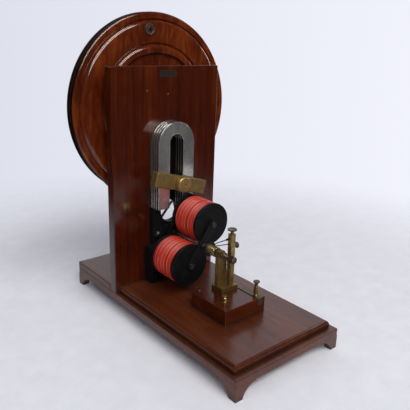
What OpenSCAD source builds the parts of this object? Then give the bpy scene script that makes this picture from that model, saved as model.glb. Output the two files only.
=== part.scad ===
// Magneto-electric machine: a hand wheel drives two wound coils past the poles of a magnet stack.
// Lengths are millimetres and angles are degrees. X runs across, Y along the base towards the
// wheel, Z up. The origin is under the middle of the base, where the feet stand.

/* [Base] */
// Length of the base
base_len = 468; // [440:1:520]
// Width of the base
base_w = 230; // [200:1:260]
// Height of the bracket feet
foot_h = 22.8; // [18:0.2:28]
// Length of each foot where it meets the table
foot_toe = 14; // [13.5:0.5:20]
// Height of the wood between a foot's hollow curve and the plinth
foot_lip = 2.2; // [1:0.1:4]
// Depth of the hollow curve's centre below the table
foot_sink = 6; // [2:0.5:9]
// Thickness of the wood in each foot
foot_t = 13; // [9:0.5:13.4]
// Thickness of the plinth
plinth_t = 12.6; // [9:0.2:20]
// Thickness of the boards on the plinth
board_t = 12.2; // [9:0.2:18]
// Ledge of plinth beside the front board
side_ledge = 8.2; // [4:0.2:14]
// Ledge of plinth before the front board
front_ledge = 12.4; // [6:0.2:20]
// Radius of the front board's top edges
board_round = 4; // [1:0.5:6]

/* [Upright] */
// Height of the upright above the plinth
upright_h = 403.2; // [390:0.2:440]
// Thickness of the upright
upright_t = 19.3; // [15:0.1:26]
// Distance of the upright's front face behind the middle of the base
upright_set = 89.1; // [84:0.1:100]
// Inset of the upright's sides from the sides of the plinth
upright_inset = 0.4; // [0.2:0.1:6]
// Radius of the upright's eased edges
upright_ease = 2; // [1:0.25:4]
// Radius of the upright's top corners
upright_corner = 4; // [2:0.25:8]
// Radius of the round window behind the bearing
window_r = 30; // [22:0.5:34]
// Height of the window's centre above the shaft
window_rise = 27.3; // [24:0.1:32]
// Radius of the shaft's passage through the upright
passage_r = 9; // [7:0.5:14]
// Width of the name plate
plate_w = 36; // [24:1:50]
// Height of the name plate
plate_h = 11; // [8:0.5:16]
// Thickness of the name plate
plate_skin = 0.8; // [0.5:0.1:2]
// Distance of the name plate below the top of the upright
plate_drop = 8; // [5:0.5:20]
// Radius of the plugged screw ends
plug_r = 1.7; // [1:0.1:3]
// Height of the plugged screw ends proud of the upright
plug_t = 0.5; // [0.3:0.1:1]
// Distance of the middle plugged screw end below the name plate
plug_drop = 29.2; // [20:0.2:40]
// Distance of the side plugged screw end from the middle of the upright
side_plug_x = 44; // [36:1:60]
// Distance of the side plugged screw end below the name plate
side_plug_drop = 22.2; // [10:0.2:40]

/* [Magnets] */
// Thickness of one horseshoe plate
magnet_t = 6.8; // [5:0.1:8]
// Gap between two horseshoe plates
magnet_gap = 0.2; // [0.1:0.05:0.6]
// Width of a horseshoe
magnet_w = 78.5; // [70:0.5:88]
// Width of the slot between the legs
slot_w = 28.4; // [22:0.2:36]
// Height of a horseshoe from its poles to its crown
magnet_h = 156.6; // [140:0.2:170]
// Thickness of the crown above the slot
crown_t = 21.6; // [18:0.2:30]
// Height of the poles above the shaft
pole_rise = 50; // [44:0.2:56]

/* [Clamp] */
// Length of the clamp bar
bar_len = 114; // [90:1:130]
// Height of the clamp bar
bar_h = 26; // [18:0.5:30]
// Thickness of the clamp bar
bar_t = 15.8; // [10:0.2:20]
// Radius of the clamp bar's corners
bar_ease = 1.2; // [0.5:0.1:3]
// Slope of the clamp bar
bar_tilt = 15.4; // [0:0.2:17]
// Height of the clamp bolt above the poles
clamp_rise = 47.8; // [46:0.1:60]
// Diameter of the clamp bolt
clamp_d = 7; // [6:0.5:12]
// Diameter of the clamp nut
clamp_nut_d = 27.5; // [18:0.5:30]
// Length of the clamp nut
clamp_nut_len = 10; // [8:0.5:14]
// Bevel of the clamp nut's edges
clamp_nut_bevel = 1; // [0.5:0.1:2]
// Depth of the bolt's end inside the nut
clamp_nut_hollow = 1.5; // [1:0.5:5]
// Thickness of the clamp bolt's head
clamp_head_t = 6; // [4:0.5:7]

/* [Bearing pedestal] */
// Height of the shaft above the base boards
shaft_rise = 91.1; // [88:0.1:100]
// Width of the pedestal's foot
ped_w = 102; // [92:1:120]
// Depth of the pedestal's foot
ped_d = 25; // [20:0.5:26]
// Height of the pedestal's foot
ped_h = 70; // [60:0.5:72]
// Width of the pedestal's back plate
ped_plate_w = 80; // [76:1:90]
// Thickness of the pedestal's back plate
ped_plate_t = 14; // [10:0.5:16]
// Width of the dip between the plate's horns
dip_w = 49; // [24:0.5:52]
// Height of the dip's bottom above the shaft
dip_rise = 18.3; // [16:0.1:24]
// Radius of the bearing boss
boss_r = 17; // [12:0.5:18]
// Gap between the bearing boss and the turning rear bar
boss_gap = 2.2; // [1.5:0.1:4]
// Diameter of the bearing bush
bush_d = 14; // [11:0.5:18]
// Length of the bush that stands out of the boss
bush_lip = 1; // [0.5:0.1:1.2]
// Distance of each pedestal bolt from the shaft
ped_bolt_x = 32; // [28:0.5:33]
// Radius of a pedestal bolt's domed head
ped_dome_r = 7; // [5:0.5:8]
// Diameter of a pedestal bolt
ped_bolt_d = 7; // [5:0.5:8]

/* [Armature] */
// Diameter of the armature shaft
shaft_d = 6; // [5:0.1:7]
// Distance of each coil's centre from the shaft
coil_reach = 41.1; // [38:0.1:42]
// Angle of the coils at rest
coil_angle = 55; // [0:1:90]
// Length of a bobbin over its cheeks
coil_len = 66.6; // [60:0.2:70]
// Thickness of a bobbin's cheek behind the end of the wire
cheek_skin = 0.45; // [0.3:0.05:2]
// Clearance between a cheek and the shaft
cheek_gap = 0.4; // [0.3:0.05:1]
// Depth of the winding below the edge of the cheeks
winding_drop = 2.6; // [1.5:0.1:4]
// Thickness of the covered wire in the outer layer
wire_d = 3.8; // [3.7:0.05:4.4]
// Least gap between two turns of the outer layer
wire_gap = 0.45; // [0.42:0.01:0.7]
// Radius of the bend at each end of the outer layer
wire_bend = 3.1; // [3:0.05:4]
// Radius of the bobbin's iron core
core_r = 12; // [8:0.5:16]
// Gap between the magnets and the turning rear bar
air_gap = 3; // [2:0.1:5]
// Thickness of the rear bar
rear_bar_t = 4; // [3:0.2:6]
// Thickness of the front yoke bar
yoke_t = 5; // [3:0.2:8]
// Width of the yoke bar and the rear bar
yoke_w = 15; // [10:0.5:20]
// Radius of a yoke screw's head
yoke_screw_r = 5; // [3:0.25:6]
// Thickness of a yoke screw's head
yoke_screw_t = 2.4; // [1.5:0.1:4]
// Width of the slot in a yoke screw's head
yoke_slot_w = 1; // [0.6:0.1:1.6]
// Depth of the slot in a yoke screw's head
yoke_slot_depth = 1.2; // [0.6:0.1:1.4]
// Width of the shaft nut across its flats
shaft_nut_w = 11; // [9:0.5:14]
// Thickness of the shaft nut
shaft_nut_t = 5; // [3:0.5:8]

/* [Commutator] */
// Gap between the yoke bar and the commutator's flange
flange_set = 16.7; // [14:0.1:22]
// Radius of the commutator's flange
flange_r = 13; // [12:0.5:16]
// Thickness of the commutator's flange
flange_t = 4; // [2:0.2:6]
// Radius of the commutator
commutator_r = 9; // [8.5:0.25:10]
// Length of the commutator's segments
commutator_len = 18; // [14:0.5:22]
// Thickness of the commutator's segments
segment_t = 2.4; // [1.5:0.1:3]
// Width of the slit between two segments
segment_slit = 1.6; // [1:0.1:3]

/* [Pivot standard] */
// Gap between the commutator and the standard
standard_gap = 4; // [3:0.1:6]
// Thickness of the standard
standard_t = 9; // [7:0.5:12]
// Width of the standard
standard_w = 18.5; // [16:0.5:19]
// Distance of the standard's middle from the shaft's line
standard_shift = 2.25; // [0:0.25:2.5]
// Radius of the standard's round eye
eye_r = 8; // [7.5:0.25:9]
// Diameter of the pivot screw
pivot_d = 7; // [6:0.25:8]
// Diameter of the shaft's pivot tip
tip_d = 3.6; // [2.5:0.1:4]
// Length of the shaft's pivot tip
tip_len = 5; // [3:0.5:6]
// Length of the pivot screw behind the standard
pivot_proud = 2; // [1:0.1:2.5]
// Length of the pivot screw that shows before the lock nut
pivot_show = 12; // [10:0.5:20]
// Diameter of the pivot screw's head
pivot_head_d = 12; // [9:0.5:14]
// Length of the pivot screw's head
pivot_head_len = 14; // [8:0.5:16]
// Bevel of the pivot screw's head
pivot_bevel = 1; // [0.4:0.1:2]
// Diameter of the lock nut
lock_d = 13; // [11:0.5:16]
// Thickness of the lock nut
lock_t = 5; // [3:0.5:7]

/* [Terminal block] */
// Width of the terminal block
block_w = 90; // [84:1:110]
// Length of the terminal block
block_len = 88; // [80:1:100]
// Height of the terminal block
block_h = 26.4; // [20:0.2:32]
// Radius of the block's upright corners
block_ease = 1; // [0.5:0.1:3]
// Length of the block behind the standard's front face
block_back = 25; // [22:0.5:30]
// Width of the brass plinth
brass_w = 36; // [34:0.5:40]
// Length of the brass plinth
brass_len = 28; // [26:0.5:32]
// Height of the brass plinth
brass_h = 8; // [5:0.5:12]
// Radius of the brass plinth's upright corners
brass_ease = 1; // [0.5:0.1:3]
// Distance of the brass plinth's centre from the shaft's line
brass_x = 9; // [8:0.5:10]
// Width of the square brush pillar
pillar_w = 9; // [7:0.5:9.5]
// Distance of the brush pillar from the shaft's line
pillar_x = 16.5; // [16:0.5:20]
// Distance of the brush pillar before the standard
pillar_set = 4.5; // [4:0.5:6]
// Height of the brush pillar above the shaft
pillar_rise = 36; // [30:0.5:44]
// Height of the upper brush above the shaft
brush_rise_high = 28; // [24:0.5:29]
// Height of the lower brush above the shaft
brush_rise_low = 18; // [14:0.5:20]
// Distance of the upper brush's end from the commutator's flange
brush_set_high = 5.4; // [3:0.2:7]
// Distance of the lower brush's end from the commutator's flange
brush_set_low = 12.6; // [10:0.2:13]
// Diameter of a brush wire
brush_d = 1.6; // [1:0.1:2.4]
// Gap between a brush wire's end and the commutator
brush_gap = 0.35; // [0.3:0.05:0.6]
// Distance of the terminal post from the shaft's line
post_x = 32; // [31:0.5:36]
// Distance of the posts and strap from the front of the block
post_set = 10; // [8:0.5:14]
// Radius of the terminal post
post_r = 4.2; // [3.5:0.1:5]
// Height of the terminal post
post_h = 18; // [14:0.5:24]
// Radius of the terminal post's foot
post_foot_r = 5.4; // [5.1:0.1:6]
// Thickness of the terminal post's foot
post_foot_t = 2.5; // [1.5:0.1:4]
// Diameter of the wire hole in the terminal post
wire_hole_d = 3; // [2:0.1:3.6]
// Height of the wire hole above the strap
wire_hole_rise = 8.1; // [7:0.1:8.6]
// Distance of the short post from the shaft's line
short_x = 25; // [20:0.5:34]
// Distance of the short post from the front of the block
short_set = 25; // [20:0.5:30]
// Height of the short post
short_h = 13; // [10:0.5:16]
// Radius of the short post's foot
short_foot_r = 4.2; // [3.5:0.1:5]
// Radius of the short post's waist
short_waist_r = 2.4; // [1.8:0.1:3]
// Radius of the bead round the short post's middle
short_bead_r = 3.6; // [3.1:0.1:4]
// Radius of the short post's cap
short_cap_r = 3.8; // [3.1:0.1:5]
// Thickness of the short post's foot and of its cap
short_ring_t = 2.6; // [1.5:0.1:3]
// Width of the terminal strap
strap_w = 10; // [9.5:0.5:12]
// Thickness of the terminal strap
strap_t = 1.2; // [0.8:0.1:2]
// Length of the strap folded over the block's front
strap_fold = 12; // [6:0.5:18]
// Radius of the block screw's head
block_screw_r = 3; // [2:0.1:4]
// Inset of the block screw from the block's back edge
block_screw_inset = 8; // [6:0.5:12]

/* [Thumbscrews] */
// Diameter of a thumbscrew's stem
thumb_d = 4; // [3:0.1:4.4]
// Diameter of the side and terminal thumbscrews' heads
thumb_head_d = 11; // [8:0.5:12]
// Diameter of the top thumbscrew's head
top_head_d = 16; // [12:0.5:18]
// Thickness of a thumbscrew's head
thumb_head_t = 2.4; // [2:0.1:3.5]
// Height of the flare below a thumbscrew's head
thumb_flare = 3; // [1.5:0.1:4]
// Length of a thumbscrew's neck below its flare
thumb_neck = 3; // [2:0.1:5]
// Radius of a thumbscrew's neck at its seat
thumb_neck_r = 3; // [2.5:0.1:3.4]
// Radius of a thumbscrew's neck below its flare
thumb_waist_r = 2.4; // [2.2:0.1:3]
// Depth of a thumbscrew in its hole
thumb_depth = 7; // [5:0.5:9]
// Depth of the dish in a thumbscrew's head
thumb_dish = 1; // [0.5:0.1:1.6]
// Depth of the side thumbscrew in the pillar
side_depth = 4.8; // [3:0.1:5]
// Height of the side thumbscrew above the shaft
side_rise = 13; // [10:0.5:13.5]

/* [Wheel] */
// Radius of the hand wheel
wheel_r = 164.6; // [155:0.2:172]
// Thickness of the wheel's rim
rim_t = 22; // [18:0.5:26]
// Gap between the upright and the wheel's rim
wheel_gap = 19.6; // [18:0.1:26]
// Height of the wheel's axle above the base boards
axle_rise = 314.8; // [305:0.2:330]
// Width of the rim outside the wheel's outer moulded step
rim_w = 14.6; // [12:0.2:20]
// Width of the band between the wheel's two moulded steps
band_w = 40; // [36:0.5:44]
// Height of each moulded step
step_h = 3.5; // [2:0.1:4]
// Width of the land between the inner step and the wheel's dished middle
land_w = 13; // [8:0.5:24]
// Depth of the wheel's dished middle
dish_h = 6; // [3:0.25:8]
// Radius of the wheel's hub
hub_r = 30; // [26:0.5:40]
// Radius of the rim's rounded front edge
rim_round = 7; // [3:0.25:7.5]
// Radius of the rim's rounded back edge
back_round = 3.5; // [2:0.25:6]
// Diameter of the wheel's axle
axle_d = 14; // [10:0.5:16]
// Diameter of the wheel's bush
wheel_bush_d = 22; // [19:0.5:26]
// Length of the bush that stands out of the back of the wheel
wheel_bush_lip = 1.5; // [1:0.1:3]
// Depth of the axle in the upright
axle_depth = 12; // [8:0.5:13]
// Radius of the axle's flange
axle_flange_r = 24; // [20:0.5:28]
// Thickness of the axle's flange
axle_flange_t = 5; // [3:0.25:6]
// Distance of each flange screw from the wheel's axle
flange_screw_ring = 16.5; // [16:0.1:16.6]
// Radius of a flange screw's head
flange_screw_r = 3; // [2:0.1:3.4]
// Diameter of the axle's nut
axle_nut_d = 24; // [22:0.5:28]
// Thickness of the axle's nut
axle_nut_t = 7; // [5:0.5:10]

/* [Crank] */
// Distance of the crank spindle from the wheel's outer moulded step
crank_inset = 14; // [13.5:0.5:22]
// Angle of the crank spindle at rest
crank_angle = 96; // [80:1:110]
// Diameter of the crank spindle
spindle_d = 8; // [6:0.5:9]
// Radius of the spindle's rosette
rosette_r = 9.5; // [8:0.25:10]
// Thickness of the spindle's rosette
rosette_t = 2; // [1.4:0.1:3]
// Width of the rosette's raised rim
rosette_rim = 2; // [1:0.1:3]
// Length of the handle grip
grip_len = 64; // [50:1:66]
// Greatest radius of the handle grip
grip_r = 15; // [12:0.5:18]
// Distance of the grip's widest part from its end at the wheel
grip_swell = 38.4; // [30:0.2:41]
// Radius of the grip's rounded end
grip_round = 7.5; // [4:0.25:9]
// Radius of the handle grip at the wheel
grip_neck_r = 9; // [8:0.25:10]
// Thickness of the spindle's collar between the wheel and the grip
collar_t = 3; // [2:0.25:4]
// Thickness of the spindle's end cap
cap_t = 4; // [3:0.25:5]
// Radius of the spindle's end cap
cap_r = 8; // [6:0.25:9]

/* [Drive] */
// Width of the drive belt
belt_w = 5; // [4:0.1:7]
// Thickness of the drive belt
belt_t = 2.6; // [1.6:0.1:3.2]
// Depth of the belt's middle below the wheel's edge
belt_depth = 3; // [2.8:0.1:4]
// Radius of the belt's middle on the armature pulley
pulley_pitch = 14; // [11:0.25:18]
// Width of the armature pulley
pulley_w = 14; // [12:0.5:18]
// Height of the pulley's rims above the belt's middle
pulley_lip = 3.5; // [2.8:0.1:5]
// Length of the shaft behind the pulley
shaft_tail = 5; // [3:0.5:10]

/* [Fits] */
// Radial clearance of parts that turn on each other
run_fit = 0.05; // [0.03:0.01:0.08]
// Clearance of parts that are fixed to each other
seat_fit = 0.05; // [0.02:0.01:0.1]
// Clearance between faces of parts that turn past each other
face_gap = 0.3; // [0.2:0.05:0.6]
// Clearance of the belt and the windings from what they lie on
soft_gap = 0.35; // [0.3:0.05:0.5]

/* [Hidden] */
$fn = 96;

// Colours of the materials
mahogany = "saddlebrown";
brass = "darkkhaki";
steel = "silver";
black_iron = "dimgray";
ebonite = "darkslategray";
red_cotton = "orangered";
leather = "sienna";

// Length by which a cutting tool passes the face that it cuts
past = 1;

// Heights of the base, the shaft, the poles and the wheel
plinth_top = foot_h + plinth_t;
deck = plinth_top + board_t;
upright_top = plinth_top + upright_h;
plate_bottom = upright_top - plate_drop - plate_h;
shaft_z = deck + shaft_rise;
pole_z = shaft_z + pole_rise;
clamp_z = pole_z + clamp_rise;
wheel_z = deck + axle_rise;
window_z = shaft_z + window_rise;

// Widths and places of the boards
half_w = base_w / 2;
half_len = base_len / 2;
upright_w = base_w - 2 * upright_inset;
upright_back = upright_set + upright_t;
board_w = base_w - 2 * side_ledge;

// Number of horseshoe plates in the stack
magnet_count = 4;
// Number of sides of a hexagonal head or nut
hex_sides = 6;

// Places along the shaft, from the upright to the front
magnet_pitch = magnet_t + magnet_gap;
stack_front = upright_set - magnet_count * magnet_pitch + magnet_gap;
rear_bar_back = stack_front - air_gap;
coil_back = rear_bar_back - rear_bar_t;
coil_front = coil_back - coil_len;
yoke_front = coil_front - yoke_t;
flange_back = yoke_front - flange_set;
commutator_back = flange_back - flange_t;
commutator_front = commutator_back - commutator_len;
standard_back = commutator_front - standard_gap;
standard_front = standard_back - standard_t;
lock_front = standard_front - seat_fit - lock_t;
pivot_front = lock_front - pivot_show;
pivot_back = standard_back + pivot_proud;
boss_front = rear_bar_back + boss_gap;

// Sizes of the bobbins and their windings
shaft_r = shaft_d / 2;
cheek_r = coil_reach - shaft_r - cheek_gap;
// Each end of the wire runs straight for its own thickness into a blind hole in a cheek
end_run = wire_d;
end_hole_r = wire_d / 2 + soft_gap;
end_hole_depth = end_run + soft_gap;
cheek_t = end_hole_depth + cheek_skin;
winding_len = coil_len - 2 * cheek_t;
winding_r = cheek_r - winding_drop;
winding_mid_r = winding_r - wire_d / 2;
inner_winding_r = winding_r - wire_d - soft_gap;

// One turn of the outer layer has this many rings, and each ring this many corners
rings_per_turn = 24;
ring_sides = 6;
bend_steps = 4;
turns_len = winding_len - 2 * wire_bend;
turns = floor(turns_len / (wire_d + wire_gap));
ring_count = turns * rings_per_turn;
turns_run = 2 * PI * winding_mid_r * turns;

// Places on the terminal block
block_rear = standard_front + block_back;
block_front = block_rear - block_len;
block_mid = (block_rear + block_front) / 2;
block_top = deck + block_h;
brass_top = block_top + brass_h;
pillar_y = standard_front - pillar_set;
pillar_top = shaft_z + pillar_rise;
brass_y = (standard_back + pillar_y - pillar_w / 2) / 2;
post_y = block_front + post_set;
post_top = block_top + strap_t + post_h;
short_y = block_front + short_set;

// Places of the wheel and the belt
step_r = wheel_r - rim_w;
ring_r = step_r - band_w;
dish_r = ring_r - land_w;
crank_reach = step_r - crank_inset;
wheel_y = upright_back + wheel_gap + rim_t / 2;
wheel_back = wheel_y + rim_t / 2;
belt_wheel_r = wheel_r - belt_depth;
belt_drop = wheel_z - shaft_z;
belt_slope = asin((belt_wheel_r - pulley_pitch) / belt_drop);
groove_w = belt_w + 2 * soft_gap;
groove_depth = belt_t / 2 + soft_gap;
// The belt bends in this many steps round the wheel and round the pulley
wheel_steps = 96;
pulley_steps = 24;
axle_back = wheel_back + wheel_bush_lip + face_gap + axle_nut_t;

// Places of the clamp nut and of the crank's pieces
clamp_nut_back = stack_front - bar_t - face_gap;
clamp_nut_front = clamp_nut_back - clamp_nut_len;
crank_face = wheel_y - rim_t / 2 - step_h;
collar_back = wheel_back + collar_t;
grip_front = collar_back + face_gap;
cap_front = grip_front + grip_len + face_gap;

// Radius of the arc that swells from the grip's neck to its widest part
swell_rise = grip_r - grip_neck_r;
swell_r = (grip_swell * grip_swell + swell_rise * swell_rise) / (2 * swell_rise);

// Extrudes a flat outline of X and Z over a span of Y
module slab(y_from, y_to) {
    translate([0, y_to, 0])
        rotate([90, 0, 0])
            linear_extrude(y_to - y_from)
                children();
}

// A round bar along Y
module rod(radius, y_from, y_to) {
    translate([0, y_from, 0])
        rotate([-90, 0, 0])
            cylinder(r = radius, h = y_to - y_from);
}

// A turned piece whose axis lies along Y, from an outline of radius and height
module turned(y_from) {
    translate([0, y_from, 0])
        rotate([-90, 0, 0])
            rotate_extrude()
                children();
}

// Half outline of a turned piece with bevelled edges
module bevelled(radius, length, bevel) {
    polygon([
        [0, 0], [radius - bevel, 0], [radius, bevel],
        [radius, length - bevel], [radius - bevel, length], [0, length]
    ]);
}

// A rectangle about the middle of its bottom edge
module sill(width, height) {
    translate([-width / 2, 0])
        square([width, height]);
}

// A rectangle with round corners, about its middle
module soft_rectangle(width, height, radius) {
    square([width - 2 * radius, height], center = true);
    square([width, height - 2 * radius], center = true);
    for (side = [-1, 1], end = [-1, 1])
        translate([side * (width / 2 - radius), end * (height / 2 - radius)])
            circle(radius);
}

// A bar with round ends, about its middle
module stadium(length, width) {
    square([length, width], center = true);
    for (side = [-1, 1])
        translate([side * length / 2, 0])
            circle(width / 2);
}

module at_shaft() {
    translate([0, 0, shaft_z])
        children();
}

module at_wheel() {
    translate([0, 0, wheel_z])
        children();
}

module at_crank() {
    translate([crank_reach * cos(crank_angle), 0, wheel_z + crank_reach * sin(crank_angle)])
        children();
}

// Turns a piece into line with the two coils
module along_coils() {
    at_shaft()
        rotate([0, -coil_angle, 0])
            children();
}

// The upper coil has side 0 and the lower coil side 1
module at_coil(side) {
    at_shaft()
        rotate([0, -coil_angle - 180 * side, 0])
            translate([coil_reach, 0, 0])
                children();
}

// Base

module plinth_board() {
    color(mahogany)
        translate([-half_w, -half_len, foot_h])
            cube([base_w, base_len, plinth_t]);
}

// One side of a bracket foot: a flat toe and a hollow curve that ends in a lip under the plinth
module foot_outline() {
    hollow_r = foot_h - foot_lip + foot_sink;
    foot_len = foot_toe + sqrt(hollow_r * hollow_r - foot_sink * foot_sink);
    difference() {
        square([foot_len, foot_h]);
        translate([foot_len, -foot_sink])
            circle(hollow_r);
    }
}

// A bracket foot under the corner of the base that the two signs name
module bracket_foot(side, end) {
    color(mahogany)
        translate([side * half_w, end * half_len, 0])
            mirror([side > 0 ? 1 : 0, 0, 0])
                mirror([0, end > 0 ? 1 : 0, 0]) {
                    translate([0, foot_t, 0])
                        rotate([90, 0, 0])
                            linear_extrude(foot_t)
                                foot_outline();
                    rotate([90, 0, 90])
                        linear_extrude(foot_t)
                            foot_outline();
                }
}

// An outline with rounded top corners, standing on its bottom edge
module rounded_top(width, height, radius) {
    sill(width, height - radius);
    translate([0, height - radius])
        sill(width - 2 * radius, radius);
    for (side = [-1, 1])
        translate([side * (width / 2 - radius), height - radius])
            circle(radius);
}

module front_board() {
    board_front = front_ledge - half_len;
    board_len = upright_set - board_front;
    color(mahogany)
        translate([0, 0, plinth_top])
            intersection() {
                slab(board_front, upright_set)
                    rounded_top(board_w, board_t, board_round);
                translate([-half_w, upright_set, 0])
                    rotate([90, 0, 90])
                        linear_extrude(base_w)
                            rounded_top(2 * board_len, board_t, board_round);
            }
}

module back_board() {
    color(mahogany)
        translate([-half_w, upright_back, plinth_top])
            cube([base_w, half_len - upright_back, board_t]);
}

// Upright

module upright() {
    color(mahogany)
        difference() {
            intersection() {
                slab(upright_set, upright_back)
                    translate([0, plinth_top])
                        rounded_top(upright_w, upright_h, upright_corner);
                translate([0, (upright_set + upright_back) / 2, plinth_top])
                    linear_extrude(upright_h)
                        soft_rectangle(upright_w, upright_t, upright_ease);
                translate([-half_w, (upright_set + upright_back) / 2, plinth_top])
                    rotate([90, 0, 90])
                        linear_extrude(base_w)
                            rounded_top(upright_t, upright_h, upright_ease);
            }
            translate([0, 0, window_z])
                rod(window_r, upright_set - past, upright_back + past);
            at_shaft()
                rod(passage_r, upright_set - past, upright_back + past);
            translate([0, 0, clamp_z])
                rod(clamp_d / 2 + seat_fit, upright_set - past, upright_back + past);
            at_wheel()
                rod(axle_d / 2 + seat_fit, upright_back - axle_depth - seat_fit, upright_back + past);
            at_shaft()
                for (side = [-1, 1])
                    translate([side * ped_bolt_x, 0, 0])
                        rod(ped_bolt_d / 2 + seat_fit, upright_set - past, upright_back + past);
        }
}

module name_plate() {
    color(brass)
        slab(upright_set - plate_skin, upright_set)
            translate([-plate_w / 2, plate_bottom])
                square([plate_w, plate_h]);
}

module upright_plugs() {
    color(brass)
        for (place = [[-side_plug_x, side_plug_drop], [0, plug_drop]])
            translate([place[0], 0, plate_bottom - place[1]])
                rod(plug_r, upright_set - plug_t, upright_set);
}

// Magnets

module horseshoe() {
    crown_z = magnet_h - magnet_w / 2;
    slot_top = magnet_h - crown_t - slot_w / 2;
    difference() {
        union() {
            sill(magnet_w, crown_z);
            translate([0, crown_z])
                circle(magnet_w / 2);
        }
        translate([0, -past])
            sill(slot_w, slot_top + past);
        translate([0, slot_top])
            circle(slot_w / 2);
    }
}

// Plate 1 lies against the upright
module magnet_plate(number) {
    plate_back = upright_set - (number - 1) * magnet_pitch;
    color(steel)
        slab(plate_back - magnet_t, plate_back)
            translate([0, pole_z])
                horseshoe();
}

// Clamp

module clamp_bar() {
    color(brass)
        translate([0, 0, clamp_z])
            difference() {
                rotate([0, bar_tilt, 0])
                    slab(stack_front - bar_t, stack_front)
                        soft_rectangle(bar_len, bar_h, bar_ease);
                rod(clamp_d / 2 + seat_fit, stack_front - bar_t - past, stack_front + past);
            }
}

module clamp_bolt() {
    color(steel)
        translate([0, 0, clamp_z]) {
            rod(clamp_d / 2, clamp_nut_front + clamp_nut_hollow, upright_back);
            translate([0, upright_back, 0])
                rotate([-90, 0, 0])
                    cylinder(r = clamp_d, h = clamp_head_t, $fn = hex_sides);
        }
}

module clamp_nut() {
    color(brass)
        translate([0, 0, clamp_z])
            turned(clamp_nut_front)
                difference() {
                    bevelled(clamp_nut_d / 2, clamp_nut_len, clamp_nut_bevel);
                    translate([0, -past])
                        square([clamp_d / 2 + run_fit, clamp_nut_len + 2 * past]);
                }
}

// Bearing pedestal

module pedestal_plate_outline() {
    plate_top = pole_z - shaft_z;
    dip_r = dip_w / 2;
    difference() {
        translate([0, deck - shaft_z])
            sill(ped_plate_w, plate_top + shaft_rise);
        translate([0, dip_rise + dip_r])
            circle(dip_r);
        translate([0, dip_rise + dip_r])
            sill(dip_w, plate_top);
    }
}

module bearing_pedestal() {
    color(black_iron)
        difference() {
            union() {
                slab(upright_set - ped_d, upright_set)
                    translate([0, deck])
                        sill(ped_w, ped_h);
                at_shaft()
                    slab(upright_set - ped_plate_t, upright_set)
                        pedestal_plate_outline();
                at_shaft()
                    rod(boss_r, boss_front, upright_set);
            }
            at_shaft() {
                rod(bush_d / 2 + seat_fit, boss_front - past, upright_set + past);
                for (side = [-1, 1])
                    translate([side * ped_bolt_x, 0, 0])
                        rod(ped_bolt_d / 2 + seat_fit, boss_front - past, upright_set + past);
            }
        }
}

module bearing_bush() {
    color(brass)
        at_shaft()
            difference() {
                rod(bush_d / 2, boss_front - bush_lip, upright_set);
                rod(shaft_r + run_fit, boss_front - bush_lip - past, upright_set + past);
            }
}

// Two bolts with domed heads hold the pedestal's plate to the upright
module pedestal_bolts() {
    plate_front = upright_set - ped_plate_t;
    color(steel)
        at_shaft()
            for (side = [-1, 1])
                translate([side * ped_bolt_x, 0, 0]) {
                    rod(ped_bolt_d / 2, plate_front - past, upright_back);
                    intersection() {
                        translate([0, plate_front, 0])
                            sphere(ped_dome_r);
                        rod(ped_dome_r + past, plate_front - ped_dome_r - past, plate_front);
                    }
                }
}

// Wheel axle

module axle_flange() {
    color(brass)
        at_wheel()
            difference() {
                rod(axle_flange_r, upright_back, upright_back + axle_flange_t);
                rod(axle_d / 2 + seat_fit, upright_back - past, upright_back + axle_flange_t + past);
            }
}

module flange_screws() {
    screw_count = 3;
    flange_face = upright_back + axle_flange_t;
    color(steel)
        at_wheel()
            for (index = [0 : screw_count - 1])
                rotate([0, 90 + index * 360 / screw_count, 0])
                    translate([flange_screw_ring, flange_face, 0])
                        intersection() {
                            sphere(flange_screw_r);
                            rod(flange_screw_r + past, 0, flange_screw_r + past);
                        }
}

module wheel_axle() {
    color(steel)
        at_wheel()
            rod(axle_d / 2, upright_back - axle_depth, axle_back);
}

module axle_nut() {
    nut_front = axle_back - axle_nut_t;
    color(brass)
        at_wheel()
            difference() {
                translate([0, nut_front, 0])
                    rotate([-90, 0, 0])
                        cylinder(r = axle_nut_d / 2, h = axle_nut_t, $fn = hex_sides);
                rod(axle_d / 2 + seat_fit, nut_front - past, axle_back + past);
            }
}

// Hand wheel

// Half outline of the wheel: radius across, and distance behind its middle plane up
module wheel_outline() {
    rim_half = rim_t / 2;
    difference() {
        union() {
            translate([0, rim_round - rim_half])
                square([wheel_r, rim_t - rim_round - back_round]);
            translate([0, -rim_half])
                square([wheel_r - rim_round, rim_t]);
            translate([wheel_r - rim_round, rim_round - rim_half])
                circle(rim_round);
            translate([wheel_r - back_round, rim_half - back_round])
                circle(back_round);
            for (step = [[step_r, 1], [ring_r, 2]]) {
                translate([0, -rim_half - step[1] * step_h])
                    square([step[0] - step_h, step[1] * step_h]);
                translate([step[0] - step_h, -rim_half - (step[1] - 1) * step_h])
                    circle(step_h);
            }
        }
        translate([hub_r, -rim_half - 2 * step_h - past])
            square([dish_r - hub_r, dish_h + past]);
        translate([-wheel_r, -wheel_r])
            square([wheel_r, 2 * wheel_r]);
        translate([belt_wheel_r - groove_depth, -groove_w / 2])
            square([groove_depth + belt_depth + past, groove_w]);
        translate([0, -wheel_r])
            square([wheel_bush_d / 2 + seat_fit, 2 * wheel_r]);
    }
}

module drive_wheel() {
    color(mahogany)
        difference() {
            at_wheel()
                turned(wheel_y)
                    wheel_outline();
            at_crank()
                rod(spindle_d / 2 + seat_fit, wheel_y - rim_t, wheel_y + rim_t);
        }
}

module wheel_bush() {
    bush_front = upright_back + axle_flange_t + face_gap;
    bush_back = wheel_back + wheel_bush_lip;
    color(brass)
        at_wheel()
            difference() {
                rod(wheel_bush_d / 2, bush_front, bush_back);
                rod(axle_d / 2 + run_fit, bush_front - past, bush_back + past);
            }
}

// Crank

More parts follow.
